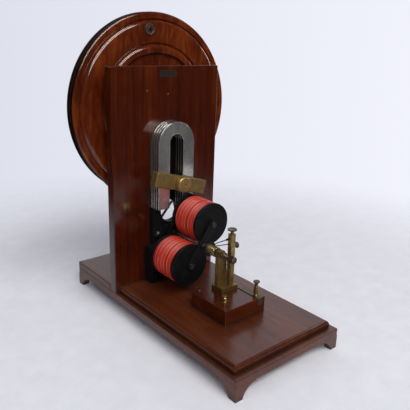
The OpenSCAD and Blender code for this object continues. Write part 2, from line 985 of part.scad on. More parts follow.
module crank_spindle() {
    color(steel)
        at_crank() {
            rod(spindle_d / 2, crank_face - rosette_t, cap_front);
            rod(grip_neck_r, wheel_back, collar_back);
            rod(cap_r, cap_front, cap_front + cap_t);
        }
}

// A round washer with a raised rim, under the riveted end of the spindle
module crank_rosette() {
    color(brass)
        at_crank()
            difference() {
                turned(crank_face - rosette_t) {
                    translate([0, rosette_t / 2])
                        square([rosette_r, rosette_t / 2]);
                    translate([rosette_r - rosette_rim, 0])
                        square([rosette_rim, rosette_t]);
                }
                rod(spindle_d / 2 + seat_fit, crank_face - rosette_t - past, crank_face + past);
            }
}

module handle_grip() {
    color(mahogany)
        at_crank()
            turned(grip_front)
                difference() {
                    intersection() {
                        translate([grip_r - swell_r, grip_swell])
                            circle(swell_r, $fn = 360);
                        union() {
                            square([grip_r, grip_len - grip_round]);
                            square([grip_r - grip_round, grip_len]);
                            translate([grip_r - grip_round, grip_len - grip_round])
                                circle(grip_round);
                        }
                    }
                    translate([-grip_r, -past])
                        square([grip_r + spindle_d / 2 + run_fit, grip_len + 2 * past]);
                }
}

// Drive

// Points of the belt's run over the wheel and under the pulley, moved outwards by a margin
function belt_run(margin) = concat(
    [for (step = [0 : wheel_steps])
        let (angle = (180 + 2 * belt_slope) * step / wheel_steps - belt_slope)
        [0, belt_drop] + (belt_wheel_r + margin) * [cos(angle), sin(angle)]],
    [for (step = [0 : pulley_steps])
        let (angle = 180 + belt_slope + (180 - 2 * belt_slope) * step / pulley_steps)
        (pulley_pitch + margin) * [cos(angle), sin(angle)]]
);

module drive_belt() {
    outside = belt_run(belt_t / 2);
    inside = belt_run(-belt_t / 2);
    count = len(outside);
    color(leather)
        at_shaft()
            slab(wheel_y - belt_w / 2, wheel_y + belt_w / 2)
                polygon(
                    concat(outside, inside),
                    [[for (index = [0 : count - 1]) index], [for (index = [0 : count - 1]) count + index]]
                );
}

module armature_pulley() {
    pulley_r = pulley_pitch + pulley_lip;
    color(brass)
        at_shaft()
            turned(wheel_y)
                difference() {
                    translate([0, -pulley_w / 2])
                        square([pulley_r, pulley_w]);
                    translate([pulley_pitch - groove_depth, -groove_w / 2])
                        square([groove_depth + pulley_lip + past, groove_w]);
                    translate([-past, -pulley_w])
                        square([past + shaft_r + seat_fit, 2 * pulley_w]);
                }
}

// Armature

module armature_shaft() {
    shoulder = pivot_back + face_gap;
    color(steel)
        at_shaft() {
            rod(shaft_r, shoulder, wheel_y + pulley_w / 2 + shaft_tail);
            rod(tip_d / 2, shoulder - tip_len, shoulder + past);
        }
}

// A turned spool with a cheek at each end and a blind hole for each end of the wire
module bobbin(side) {
    color(ebonite)
        at_coil(side)
            difference() {
                union() {
                    rod(core_r, coil_front, coil_back);
                    rod(cheek_r, coil_front, coil_front + cheek_t);
                    rod(cheek_r, coil_back - cheek_t, coil_back);
                }
                winding_end(0)
                    rod(end_hole_r, coil_front + cheek_t - end_hole_depth, coil_front + cheek_t + past);
                winding_end(1)
                    rod(end_hole_r, coil_back - cheek_t - past, coil_back - cheek_t + end_hole_depth);
            }
}

// The inner layers of a winding, which only show between the turns of the outer layer
module winding_core(side) {
    color(red_cotton)
        at_coil(side)
            difference() {
                rod(inner_winding_r, coil_front + cheek_t + seat_fit, coil_back - cheek_t - seat_fit);
                rod(core_r + seat_fit, coil_front, coil_back);
            }
}

// The wire's middle line is laid out flat, as distance along the turn and distance along the coil,
// and then wrapped round the coil
flat_line = concat(
    [[0, -end_run]],
    [for (step = [0 : bend_steps])
        let (angle = 90 * step / bend_steps)
        [wire_bend * (1 - cos(angle)), wire_bend * sin(angle)]],
    [for (ring = [1 : ring_count - 1])
        [wire_bend + turns_run * ring / ring_count, wire_bend + turns_len * ring / ring_count]],
    [for (step = [0 : bend_steps])
        let (angle = 90 * step / bend_steps)
        [wire_bend + turns_run + wire_bend * sin(angle), winding_len - wire_bend * cos(angle)]],
    [[2 * wire_bend + turns_run, winding_len + end_run]]
);

// Angle round the coil at a distance along the turns
function wrap_angle(run) = run / winding_mid_r * 180 / PI;

// Turns a coil's piece to the place of the wire's first or last end
module winding_end(last) {
    rotate([0, -wrap_angle(last * (2 * wire_bend + turns_run)), 0])
        translate([winding_mid_r, 0, 0])
            children();
}

function wrap(point) =
    let (angle = wrap_angle(point[0]))
    [winding_mid_r * cos(angle), coil_front + cheek_t + point[1], winding_mid_r * sin(angle)];

wire_line = [for (point = flat_line) wrap(point)];

function unit(vector) = vector / norm(vector);

// Direction of the wire at a point: straight at the ends, and between its neighbours elsewhere
function heading(line, index) =
    let (first = max(index - 1, 0))
    let (last = min(index + 1, len(line) - 1))
    unit(line[last] - line[first]);

function outward(point) = unit([point[0], 0, point[2]]);

// The corners of the wire's outline round one point of its middle line
function wire_ring(line, index) =
    let (out = outward(line[index]))
    let (aside = unit(cross(heading(line, index), out)))
    [for (corner = [0 : ring_sides - 1])
        let (angle = 360 * corner / ring_sides)
        line[index] + wire_d / 2 * (cos(angle) * out + sin(angle) * aside)];

// Least gap between stretches of the wire that are at least half a turn apart
function least_gap(line) =
    min([for (first = [0 : len(line) - 1])
        for (second = [first + rings_per_turn / 2 : 1 : len(line) - 1])
            norm(line[first] - line[second])]) - wire_d;

module winding(side) {
    echo(least_wire_gap = least_gap(wire_line));
    rings = len(wire_line);
    corners = [for (index = [0 : rings - 1]) each wire_ring(wire_line, index)];
    walls = [for (index = [0 : rings - 2], corner = [0 : ring_sides - 1])
        let (near = index * ring_sides + corner)
        let (next = index * ring_sides + (corner + 1) % ring_sides)
        each [[near, near + ring_sides, next], [next, near + ring_sides, next + ring_sides]]];
    first_cap = [for (corner = [1 : ring_sides - 2]) [0, corner, corner + 1]];
    last_ring = (rings - 1) * ring_sides;
    last_cap = [for (corner = [1 : ring_sides - 2])
        [last_ring, last_ring + corner + 1, last_ring + corner]];
    color(red_cotton)
        at_coil(side)
            polyhedron(corners, concat(walls, first_cap, last_cap));
}

// A bar with round ends across both coils, with a hole for the shaft
module coil_bar(y_from, y_to) {
    color(black_iron)
        along_coils()
            slab(y_from, y_to)
                difference() {
                    stadium(2 * coil_reach, yoke_w);
                    circle(shaft_r + seat_fit);
                }
}

module yoke_bar() {
    coil_bar(yoke_front, coil_front);
}

module rear_bar() {
    coil_bar(coil_back, rear_bar_back);
}

module yoke_screws() {
    head_front = yoke_front - yoke_screw_t;
    color(steel)
        along_coils()
            for (side = [-1, 1])
                translate([side * coil_reach, 0, 0])
                    difference() {
                        rod(yoke_screw_r, head_front, yoke_front);
                        translate([-yoke_screw_r - past, head_front - past, -yoke_slot_w / 2])
                            cube([2 * (yoke_screw_r + past), past + yoke_slot_depth, yoke_slot_w]);
                    }
}

module shaft_nut() {
    color(steel)
        along_coils()
            difference() {
                translate([0, yoke_front - shaft_nut_t, 0])
                    rotate([-90, 0, 0])
                        cylinder(d = shaft_nut_w / cos(180 / hex_sides), h = shaft_nut_t, $fn = hex_sides);
                rod(shaft_r + seat_fit, yoke_front - shaft_nut_t - past, yoke_front + past);
            }
}

// The insulating flange and sleeve that carry the commutator's segments
module commutator_hub() {
    color(ebonite)
        at_shaft()
            difference() {
                union() {
                    rod(flange_r, commutator_back, flange_back);
                    rod(commutator_r - segment_t - seat_fit, commutator_front, flange_back);
                }
                rod(shaft_r + seat_fit, commutator_front - past, flange_back + past);
            }
}

module commutator_segments() {
    color(brass)
        along_coils()
            difference() {
                rod(commutator_r, commutator_front, commutator_back - seat_fit);
                rod(commutator_r - segment_t, commutator_front - past, commutator_back + past);
                translate([-commutator_r - past, commutator_front - past, -segment_slit / 2])
                    cube([2 * (commutator_r + past), commutator_len + 2 * past, segment_slit]);
            }
}

// Pivot standard

module bearing_standard() {
    color(brass)
        difference() {
            union() {
                slab(standard_front, standard_back)
                    translate([standard_shift, brass_top])
                        sill(standard_w, shaft_z - brass_top);
                at_shaft()
                    rod(eye_r, standard_front, standard_back);
            }
            at_shaft()
                rod(pivot_d / 2 + run_fit, standard_front - past, standard_back + past);
        }
}

module pivot_screw() {
    color(brass)
        at_shaft()
            difference() {
                union() {
                    rod(pivot_d / 2, pivot_front - past, pivot_back);
                    turned(pivot_front - pivot_head_len)
                        bevelled(pivot_head_d / 2, pivot_head_len, pivot_bevel);
                }
                rod(tip_d / 2 + run_fit, pivot_back - tip_len, pivot_back + past);
            }
}

module pivot_lock_nut() {
    color(brass)
        at_shaft()
            difference() {
                rod(lock_d / 2, lock_front, lock_front + lock_t);
                rod(pivot_d / 2 + run_fit, lock_front - past, lock_front + lock_t + past);
            }
}

// Terminal block

module terminal_block() {
    color(mahogany)
        translate([0, block_mid, deck])
            linear_extrude(block_h)
                soft_rectangle(block_w, block_len, block_ease);
}

module block_screw() {
    screw_x = -block_w / 2 + block_screw_inset + block_screw_r;
    color(steel)
        translate([screw_x, block_rear - block_screw_inset, block_top])
            intersection() {
                sphere(block_screw_r);
                cylinder(r = block_screw_r + past, h = block_screw_r + past);
            }
}

module brass_plinth() {
    color(brass)
        translate([brass_x, brass_y, block_top])
            linear_extrude(brass_h)
                soft_rectangle(brass_w, brass_len, brass_ease);
}

module at_pillar() {
    translate([pillar_x, pillar_y, 0])
        children();
}

// The place on the pillar's left side where a brush wire starts
function brush_start(rise) = [pillar_x - pillar_w / 2, pillar_y, shaft_z + rise];

module brush_pillar() {
    color(brass)
        difference() {
            at_pillar()
                translate([-pillar_w / 2, -pillar_w / 2, brass_top])
                    cube([pillar_w, pillar_w, pillar_top - brass_top]);
            at_pillar()
                translate([0, 0, pillar_top - thumb_depth - face_gap])
                    cylinder(d = thumb_d + 2 * run_fit, h = thumb_depth + face_gap + past);
            at_pillar()
                translate([pillar_w / 2 - side_depth - face_gap, 0, shaft_z + side_rise])
                    rotate([0, 90, 0])
                        cylinder(d = thumb_d + 2 * run_fit, h = side_depth + face_gap + past);
        }
}

// A brush wire runs from the pillar to just above the commutator, at a distance from its flange
module brush(rise, set_off) {
    start = brush_start(rise);
    reach = commutator_r + brush_gap + brush_d / 2;
    finish = [0, commutator_back - set_off, shaft_z + reach];
    run = finish - start;
    turn = atan2(run[1], run[0]);
    tip = acos(run[2] / norm(run));
    color(black_iron)
        intersection() {
            translate(start)
                rotate([0, tip, turn])
                    translate([0, 0, -pillar_w])
                        cylinder(d = brush_d, h = norm(run) + pillar_w);
            translate([start[0] - base_w, start[1] - base_len, 0])
                cube([base_w, 2 * base_len, upright_top]);
        }
}

module brush_upper() {
    brush(brush_rise_high, brush_set_high);
}

module brush_lower() {
    brush(brush_rise_low, brush_set_low);
}

// A brass strip from the brass plinth under the terminal post and over the front of the block
module terminal_strap() {
    color(brass) {
        translate([post_x - strap_w / 2, block_front - strap_t, block_top])
            cube([strap_w, brass_y - block_front + strap_t, strap_t]);
        translate([post_x - strap_w / 2, block_front - strap_t, block_top - strap_fold])
            cube([strap_w, strap_t, strap_fold + strap_t]);
    }
}

module terminal_post() {
    color(brass)
        translate([post_x, post_y, block_top + strap_t])
            difference() {
                union() {
                    cylinder(r = post_foot_r, h = post_foot_t);
                    cylinder(r = post_r, h = post_h);
                }
                translate([0, 0, post_h - thumb_depth - face_gap])
                    cylinder(d = thumb_d + 2 * run_fit, h = thumb_depth + face_gap + past);
                translate([-post_foot_r, 0, wire_hole_rise])
                    rotate([0, 90, 0])
                        cylinder(d = wire_hole_d, h = 2 * post_foot_r);
            }
}

module short_post() {
    color(brass)
        translate([-short_x, short_y, block_top]) {
            cylinder(r = short_foot_r, h = short_ring_t);
            cylinder(r = short_waist_r, h = short_h);
            translate([0, 0, short_h / 2])
                sphere(short_bead_r);
            translate([0, 0, short_h - short_ring_t])
                cylinder(r = short_cap_r, h = short_ring_t);
        }
}

// Thumbscrews

// A thumbscrew with its seat at the origin and its stem going down
module thumbscrew(depth, head_d) {
    head_r = head_d / 2;
    head_low = thumb_neck + thumb_flare;
    hollow_r = (head_r * head_r / thumb_dish + thumb_dish) / 2;
    color(brass)
        translate([0, 0, face_gap])
            difference() {
                union() {
                    translate([0, 0, -depth])
                        cylinder(d = thumb_d, h = depth + thumb_neck);
                    cylinder(r1 = thumb_neck_r, r2 = thumb_waist_r, h = thumb_neck);
                    translate([0, 0, thumb_neck])
                        cylinder(r1 = thumb_waist_r, r2 = head_r, h = thumb_flare);
                    translate([0, 0, head_low])
                        cylinder(r = head_r, h = thumb_head_t);
                }
                translate([0, 0, head_low + thumb_head_t + hollow_r - thumb_dish])
                    sphere(hollow_r);
            }
}

module top_thumbscrew() {
    at_pillar()
        translate([0, 0, pillar_top])
            thumbscrew(thumb_depth, top_head_d);
}

module side_thumbscrew() {
    at_pillar()
        translate([pillar_w / 2, 0, shaft_z + side_rise])
            rotate([0, 90, 0])
                thumbscrew(side_depth, thumb_head_d);
}

module post_thumbscrew() {
    translate([post_x, post_y, post_top])
        thumbscrew(thumb_depth, thumb_head_d);
}

plinth_board();
bracket_foot(-1, -1);  // foot_front_left
bracket_foot(1, -1);  // foot_front_right
bracket_foot(-1, 1);  // foot_back_left
bracket_foot(1, 1);  // foot_back_right
front_board();
back_board();
upright();
name_plate();
upright_plugs();
magnet_plate(1);  // magnet_plate_1
magnet_plate(2);  // magnet_plate_2
magnet_plate(3);  // magnet_plate_3
magnet_plate(4);  // magnet_plate_4
clamp_bar();
clamp_bolt();
bearing_pedestal();
bearing_bush();
pedestal_bolts();
axle_flange();
flange_screws();
wheel_axle();
axle_nut();
drive_belt();
terminal_block();
block_screw();
brass_plinth();
bearing_standard();
pivot_lock_nut();
brush_pillar();
brush_upper();
brush_lower();
terminal_strap();
terminal_post();
short_post();
drive_wheel();
wheel_bush();
crank_spindle();
crank_rosette();
handle_grip();
armature_shaft();
armature_pulley();
bobbin(0);  // bobbin_upper
bobbin(1);  // bobbin_lower
winding_core(0);  // winding_core_upper
winding_core(1);  // winding_core_lower
winding(0);  // winding_upper
winding(1);  // winding_lower
yoke_bar();
rear_bar();
yoke_screws();
shaft_nut();
commutator_hub();
commutator_segments();
clamp_nut();
pivot_screw();
top_thumbscrew();
side_thumbscrew();
post_thumbscrew();
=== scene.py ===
"""Looks of a magneto-electric machine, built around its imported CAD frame."""

import math
import random

import bmesh
import bpy
from mathutils import Matrix, Vector


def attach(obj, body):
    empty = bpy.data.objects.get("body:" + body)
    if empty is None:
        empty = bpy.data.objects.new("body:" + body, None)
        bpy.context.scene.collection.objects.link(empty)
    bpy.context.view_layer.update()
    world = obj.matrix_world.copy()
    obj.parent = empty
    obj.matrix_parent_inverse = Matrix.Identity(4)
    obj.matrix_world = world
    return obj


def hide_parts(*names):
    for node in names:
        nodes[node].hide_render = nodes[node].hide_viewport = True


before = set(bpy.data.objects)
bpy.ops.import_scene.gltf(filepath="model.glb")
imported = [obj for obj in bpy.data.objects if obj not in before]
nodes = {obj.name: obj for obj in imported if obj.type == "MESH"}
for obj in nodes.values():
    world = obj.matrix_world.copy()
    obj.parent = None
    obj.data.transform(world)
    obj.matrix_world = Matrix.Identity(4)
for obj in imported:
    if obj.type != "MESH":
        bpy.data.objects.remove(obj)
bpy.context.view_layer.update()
MM = 0.001

# Sizes that the CAD source gives, in millimetres and degrees
PLINTH_LOW = 22.8
PLINTH_TOP = 35.4
DECK = 47.6
HALF_W = 115.0
HALF_LEN = 234.0
UPRIGHT_SET = 89.1
UPRIGHT_BACK = 108.4
SIDE_LEDGE = 8.2
FRONT_LEDGE = 12.4
SHAFT_Z = 138.7
COIL_REACH = 41.1
COIL_ANGLE = 55.0
COIL_FRONT = -12.3
COIL_LEN = 66.6
CHEEK_T = 4.6
CORE_R = 12.05
WIRE_D = 3.8
WIRE_BEND = 3.1
WINDING_MID_R = 35.6
INNER_WINDING_R = 33.3
TURNS = 12
WHEEL_Z = 362.4
WHEEL_Y = 139.0
BELT_WHEEL_R = 161.6
PULLEY_PITCH = 14.0
BELT_W = 5.0
BELT_T = 2.6
POLE_Z = 188.7
MAGNET_W = 78.5
MAGNET_H = 156.6
MAGNET_T = 6.8
MAGNET_PITCH = 7.0
SLOT_W = 28.4
CROWN_T = 21.6
STACK_FRONT = 61.3
CLAMP_Z = 236.5
BAR_TILT = 15.4
BAR_LEN = 114.0
BAR_H = 26.0
BAR_T = 15.8
PIVOT_R = 3.5
PIVOT_BACK = -58.0
PIVOT_FRONT = -86.05
PIVOT_HEAD_LEN = 14.0
PIVOT_HEAD_R = 6.0
TIP_HOLE_R = 1.85
TIP_LEN = 5.0
LOCK_FRONT = -74.05
LOCK_T = 5.0
LOCK_R = 6.5
PILLAR = (16.5, -73.5)
PILLAR_TOP = 174.7
PILLAR_W = 9.0
POST = (32.0, -122.0)
POST_TOP = 93.2
SIDE_SCREW_Z = 151.7
SEAT_GAP = 0.3
BRUSH_RISE = 28.0
BRUSH_END_Y = -43.4
BRUSH_END_Z = 148.85
TOP_HEAD_R = 8.0
THUMB_HEAD_R = 5.5
BLOCK_W = 90.0
BLOCK_REAR = -44.0
BLOCK_FRONT = -132.0
BLOCK_TOP = 74.0
PLATE_W = 36.0
PLATE_H = 11.0
PLATE_SKIN = 0.8
PLATE_Z = 425.1


# Camera

# Its fitted place in millimetres, the directions of its right side and its view, and its lens
CAMERA_PLACE = (-545.075, -660.944, 484.555)
CAMERA_RIGHT = (0.7673, -0.6405, 0.0295)
CAMERA_FORWARD = (0.6169, 0.7250, -0.3060)
CAMERA_LENS = 45.37
SENSOR_W = 36.0


def make_camera():
    """The camera that the photograph was fitted with."""
    data = bpy.data.cameras.new("camera")
    data.sensor_width = SENSOR_W
    data.lens = CAMERA_LENS
    data.clip_end = 20.0
    camera = bpy.data.objects.new("camera", data)
    bpy.context.scene.collection.objects.link(camera)
    right = Vector(CAMERA_RIGHT).normalized()
    forward = Vector(CAMERA_FORWARD).normalized()
    up = right.cross(forward).normalized()
    right = forward.cross(up)
    turn = Matrix((right, up, -forward)).transposed()
    camera.matrix_world = Matrix.Translation(Vector(CAMERA_PLACE) * MM) @ turn.to_4x4()
    bpy.context.scene.camera = camera


make_camera()


# Shader helpers

class Shader:
    """A material or a world, with short calls for adding and linking its nodes."""

    def __init__(self, owner, main="Principled BSDF", place="Object"):
        self.owner = owner
        self.owner.use_nodes = True
        self.tree = self.owner.node_tree
        self.main = self.tree.nodes[main]
        self.position = self.add("ShaderNodeTexCoord").outputs[place]

    def put(self, socket, value):
        """Links a socket to another, or gives it a plain value."""
        if isinstance(value, bpy.types.NodeSocket):
            self.tree.links.new(value, socket)
        else:
            socket.default_value = value

    def add(self, kind, settings=None, **inputs):
        """A new node, with an underscore for each space in the names of its inputs."""
        node = self.tree.nodes.new(kind)
        for key, value in (settings or {}).items():
            setattr(node, key, value)
        for key, value in inputs.items():
            self.put(node.inputs[key.replace("_", " ")], value)
        return node

    def surface(self, **inputs):
        for key, value in inputs.items():
            self.put(self.main.inputs[key.replace("_", " ")], value)

    def math(self, operation, first, second=0.0):
        node = self.tree.nodes.new("ShaderNodeMath")
        node.operation = operation
        self.put(node.inputs[0], first)
        self.put(node.inputs[1], second)
        return node.outputs[0]

    def dot(self, first, second):
        node = self.add("ShaderNodeVectorMath", {"operation": "DOT_PRODUCT"})
        self.put(node.inputs[0], first)
        self.put(node.inputs[1], second)
        return node.outputs["Value"]

    def hypot(self, first, second):
        """The length of a line that goes so far along two axes."""
        squares = self.math("ADD", self.math("MULTIPLY", first, first), self.math("MULTIPLY", second, second))
        return self.math("SQRT", squares)

    def axes(self):
        """The position's X, Y and Z."""
        return self.add("ShaderNodeSeparateXYZ", Vector=self.position).outputs

    def stretched(self, scale):
        """The position with each axis scaled by its own amount."""
        return self.add("ShaderNodeMapping", Vector=self.position, Scale=scale).outputs["Vector"]

    def noise(self, vector, scale, detail=3.0, roughness=0.55, distortion=0.0):
        node = self.add("ShaderNodeTexNoise", Vector=vector, Scale=scale, Detail=detail,
                        Roughness=roughness, Distortion=distortion)
        return node.outputs["Fac"]

    def ramp(self, factor, stops):
        """Colours or shades between stops of (place, colour)."""
        node = self.add("ShaderNodeValToRGB", Fac=factor)
        elements = node.color_ramp.elements
        while len(elements) < len(stops):
            elements.new(0.5)
        for element, (place, tint) in zip(elements, stops):
            element.position = place
            element.color = (*tint, 1.0) if isinstance(tint, tuple) else (tint, tint, tint, 1.0)
        return node.outputs["Color"]

    def span(self, factor, low, high):
        """A factor of 0 to 1 moved to the range between low and high."""
        node = self.add("ShaderNodeMapRange", Value=factor)
        node.inputs["To Min"].default_value = low
        node.inputs["To Max"].default_value = high
        return node.outputs["Result"]

    def between(self, value, low, high, interpolation="LINEAR"):
        """A value moved to 0 at low and to 1 at high."""
        node = self.add("ShaderNodeMapRange", {"interpolation_type": interpolation}, Value=value)
        node.inputs["From Min"].default_value = low
        node.inputs["From Max"].default_value = high
        return node.outputs["Result"]

    def distance(self):
        """How far a point lies from the object's origin."""
        node = self.add("ShaderNodeVectorMath", {"operation": "LENGTH"})
        self.put(node.inputs[0], self.position)
        return node.outputs["Value"]

    def near(self, value, middle, reach):
        """A mask that is 1 where a value lies within reach of a middle."""
        aside = self.math("ABSOLUTE", self.math("SUBTRACT", value, middle))
        return self.math("LESS_THAN", aside, reach)

    def mix(self, factor, first, second):
        node = self.tree.nodes.new("ShaderNodeMix")
        node.data_type = "RGBA"
        self.put(node.inputs["Factor"], factor)
        self.put(node.inputs[6], first)
        self.put(node.inputs[7], second)
        return node.outputs[2]

    def edges(self, radius):
        """A mask that is 1 along worn edges, and the normals that round those edges."""
        bevel = self.add("ShaderNodeBevel", {"samples": 6}, Radius=radius)
        normal = self.add("ShaderNodeNewGeometry").outputs["Normal"]
        away = self.math("SUBTRACT", 1.0, self.dot(bevel.outputs["Normal"], normal))
        return self.math("MINIMUM", self.math("MULTIPLY", away, 6.0), 1.0), bevel.outputs["Normal"]

    def bump(self, height, strength, distance, normal=None):
        node = self.add("ShaderNodeBump", Height=height, Strength=strength, Distance=distance)
        if normal is not None:
            self.put(node.inputs["Normal"], normal)
        return node.outputs["Normal"]


def colour(red, green, blue):
    return (red, green, blue, 1.0)


def scaled(tone, amount):
    """A tone made lighter or darker, as a colour."""
    return colour(*(min(1.0, amount * part) for part in tone))


# Materials

def mahogany(name, grain, dark, middle, light, coat, gloss, grime_and_corner_shade=0.0, shade=None, stretch=0.06, edge=0.9):
    """French-polished mahogany with its grain along one axis: soft figure, pores, rubbed edges and scuffs,
    and painted shade in its corners.

    A shade of (half width, foot, top) darkens a strip of the front, which shows through the magnets' slot.
    """
    shader = Shader(bpy.data.materials.new(name))
    along = [1.0, 1.0, 1.0]
    along["XYZ".index(grain)] = stretch
    lines = shader.stretched(along)
    figure = shader.noise(lines, 26.0, 4.0, 0.6, 1.1)
    ribbon = shader.noise(lines, 150.0, 3.0, 0.6, 0.4)
    pores = shader.noise(lines, 900.0, 2.0, 0.7)
    cloud = shader.noise(shader.position, 7.5, 3.0, 0.55)
    broad = shader.math("ADD", shader.math("MULTIPLY", figure, 0.44), shader.math("MULTIPLY", cloud, 0.28))
    blend = shader.math("ADD", broad, shader.math("MULTIPLY", ribbon, 0.28))
    wood = shader.ramp(blend, [(0.36, dark), (0.50, middle), (0.66, light)])
    pore_mask = shader.ramp(pores, [(0.30, 1.0), (0.42, 0.0)])
    grained = shader.mix(shader.math("MULTIPLY", pore_mask, 0.45), wood, scaled(dark, 0.5))
    worn, rounded = shader.edges(edge * MM)
    rub = shader.math("MULTIPLY", worn, shader.noise(shader.position, 60.0, 3.0))
    rubbed = shader.mix(shader.math("MULTIPLY", rub, 0.6), grained, scaled(light, 2.0))
    scuffs = shader.ramp(shader.noise(shader.position, 95.0, 4.0, 0.7), [(0.66, 0.0), (0.74, 1.0)])
    scuffed = shader.mix(shader.math("MULTIPLY", scuffs, 0.5 * grime_and_corner_shade), rubbed, colour(0.20, 0.12, 0.095))
    # Painted shade: the wood darkens in the corners and recesses that ambient occlusion finds
    corner = shader.add("ShaderNodeAmbientOcclusion", {"samples": 8}, Distance=14.0 * MM).outputs["AO"]
    painted_corner_shade = shader.ramp(corner, [(0.45, 1.0), (0.92, 0.0)])
    final = shader.mix(shader.math("MULTIPLY", painted_corner_shade, grime_and_corner_shade), scuffed, colour(0.014, 0.009, 0.0055))
    if shade:
        x, y, z = shader.axes()
        half_width, foot, top = (limit * MM for limit in shade)
        beside = shader.near(x, 0.0, half_width)
        tall = shader.near(z, (foot + top) / 2, (top - foot) / 2)
        front = shader.math("LESS_THAN", y, (UPRIGHT_SET + 2.0) * MM)
        strip = shader.math("MULTIPLY", shader.math("MULTIPLY", beside, front), tall)
        # Painted shade: the strip seen through the slot is made near black
        final = shader.mix(strip, final, colour(0.004, 0.0025, 0.002))
    smear = shader.noise(shader.position, 24.0, 4.0, 0.6)
    shader.surface(Base_Color=final, Roughness=shader.span(smear, 0.45, 0.65), Specular_IOR_Level=0.05,
                   Specular_Tint=colour(1.0, 0.42, 0.22),
                   Coat_Weight=coat, Coat_Roughness=gloss, Coat_IOR=1.52,
                   Normal=shader.bump(pore_mask, 0.05, 0.2 * MM, rounded))
    return shader.owner


def brass(name, bright, dull, metal, roughness, patina):
    """Old lacquered brass, browned in patches and rubbed bright along its edges."""
    shader = Shader(bpy.data.materials.new(name))
    cloud = shader.noise(shader.position, 70.0, 5.0, 0.65, 0.4)
    specks = shader.noise(shader.position, 620.0, 3.0, 0.6)
    scratch = shader.noise(shader.stretched((1.0, 1.0, 0.08)), 900.0, 2.0, 0.6)
    mask = shader.ramp(cloud, [(0.34, 0.0), (0.68, 1.0)])
    toned = shader.mix(shader.math("MULTIPLY", mask, patina), colour(*bright), colour(*dull))
    spots = shader.ramp(specks, [(0.60, 0.0), (0.74, 1.0)])
    spotted = shader.mix(shader.math("MULTIPLY", spots, 0.5 * patina), toned, scaled(dull, 0.45))
    worn, rounded = shader.edges(0.5 * MM)
    final = shader.mix(shader.math("MULTIPLY", worn, 0.5), spotted, scaled(bright, 1.35))
    rough = shader.math("ADD", shader.span(mask, roughness * 0.8, roughness * 1.3),
                        shader.math("MULTIPLY", scratch, 0.08))
    shader.surface(Base_Color=final, Metallic=metal, Roughness=rough,
                   Normal=shader.bump(scratch, 0.06, 0.1 * MM, rounded))
    return shader.owner


def steel(name, bright, dull, metal, roughness):
    """Ground steel with grinding lines, grey bloom, and edges lighter from wear and painted highlight."""
    shader = Shader(bpy.data.materials.new(name))
    lines = shader.noise(shader.stretched((1.0, 1.0, 0.03)), 1500.0, 2.0, 0.7)
    bloom = shader.noise(shader.stretched((1.0, 1.0, 0.35)), 42.0, 4.0, 0.55, 0.6)
    mask = shader.ramp(bloom, [(0.30, 0.0), (0.72, 1.0)])
    toned = shader.mix(mask, colour(*bright), colour(*dull))
    streaked = shader.mix(shader.math("MULTIPLY", lines, 0.30), toned, scaled(dull, 0.55))
    worn, rounded = shader.edges(0.8 * MM)
    stains = shader.ramp(shader.noise(shader.position, 120.0, 5.0, 0.7, 1.0), [(0.50, 0.0), (0.62, 0.45)])
    stained = shader.mix(stains, streaked, scaled(dull, 0.5))
    # Lighter edges: partly wear, partly painted highlight on the bevels
    final = shader.mix(shader.math("MULTIPLY", worn, 0.8), stained, scaled(bright, 1.6))
    shader.surface(Base_Color=final, Metallic=metal,
                   Roughness=shader.span(bloom, roughness * 0.75, roughness * 1.3),
                   Normal=shader.bump(lines, 0.03, 0.1 * MM, rounded))
    return shader.owner


def black_paint(name, tone, roughness, grit):
    """Black japan over a slightly uneven surface, rubbed grey at its edges."""
    shader = Shader(bpy.data.materials.new(name))
    cloud = shader.noise(shader.position, 110.0, 4.0, 0.6)
    skin = shader.noise(shader.position, 750.0, 3.0, 0.6)
    dusty = shader.mix(shader.ramp(cloud, [(0.45, 0.0), (0.75, 1.0)]), colour(*tone),
                       colour(*(1.8 * part + 0.002 for part in tone)))
    worn, rounded = shader.edges(0.6 * MM)
    final = shader.mix(shader.math("MULTIPLY", worn, 0.3), dusty, colour(0.12, 0.115, 0.11))
    shader.surface(Base_Color=final, Roughness=shader.span(cloud, roughness * 0.8, roughness * 1.25),
                   Specular_IOR_Level=0.11, Normal=shader.bump(skin, grit, 0.15 * MM, rounded))
    return shader.owner


def turned_black(name):
    """Ebonised cheeks with faint rings from the lathe about each coil's own axis."""
    shader = Shader(bpy.data.materials.new(name))
    x, _, z = shader.axes()
    rings = []
    for side in (0, 1):
        centre = coil_matrix(side).translation
        across = shader.math("SUBTRACT", x, centre.x)
        up = shader.math("SUBTRACT", z, centre.z)
        rings.append(shader.hypot(across, up))
    radius = shader.math("MINIMUM", rings[0], rings[1])
    tool_pace = 2200.0
    waves = shader.math("SINE", shader.math("MULTIPLY", radius, tool_pace))
    cloud = shader.noise(shader.position, 60.0, 4.0, 0.6)
    tone = shader.ramp(cloud, [(0.35, (0.003, 0.003, 0.0032)), (0.7, (0.007, 0.007, 0.0074))])
    worn, rounded = shader.edges(0.7 * MM)
    final = shader.mix(shader.math("MULTIPLY", worn, 0.35), tone, colour(0.07, 0.067, 0.064))
    shader.surface(Base_Color=final, Roughness=shader.span(cloud, 0.36, 0.52), Specular_IOR_Level=0.10,
                   Normal=shader.bump(waves, 0.05, 0.2 * MM, rounded))
    return shader.owner


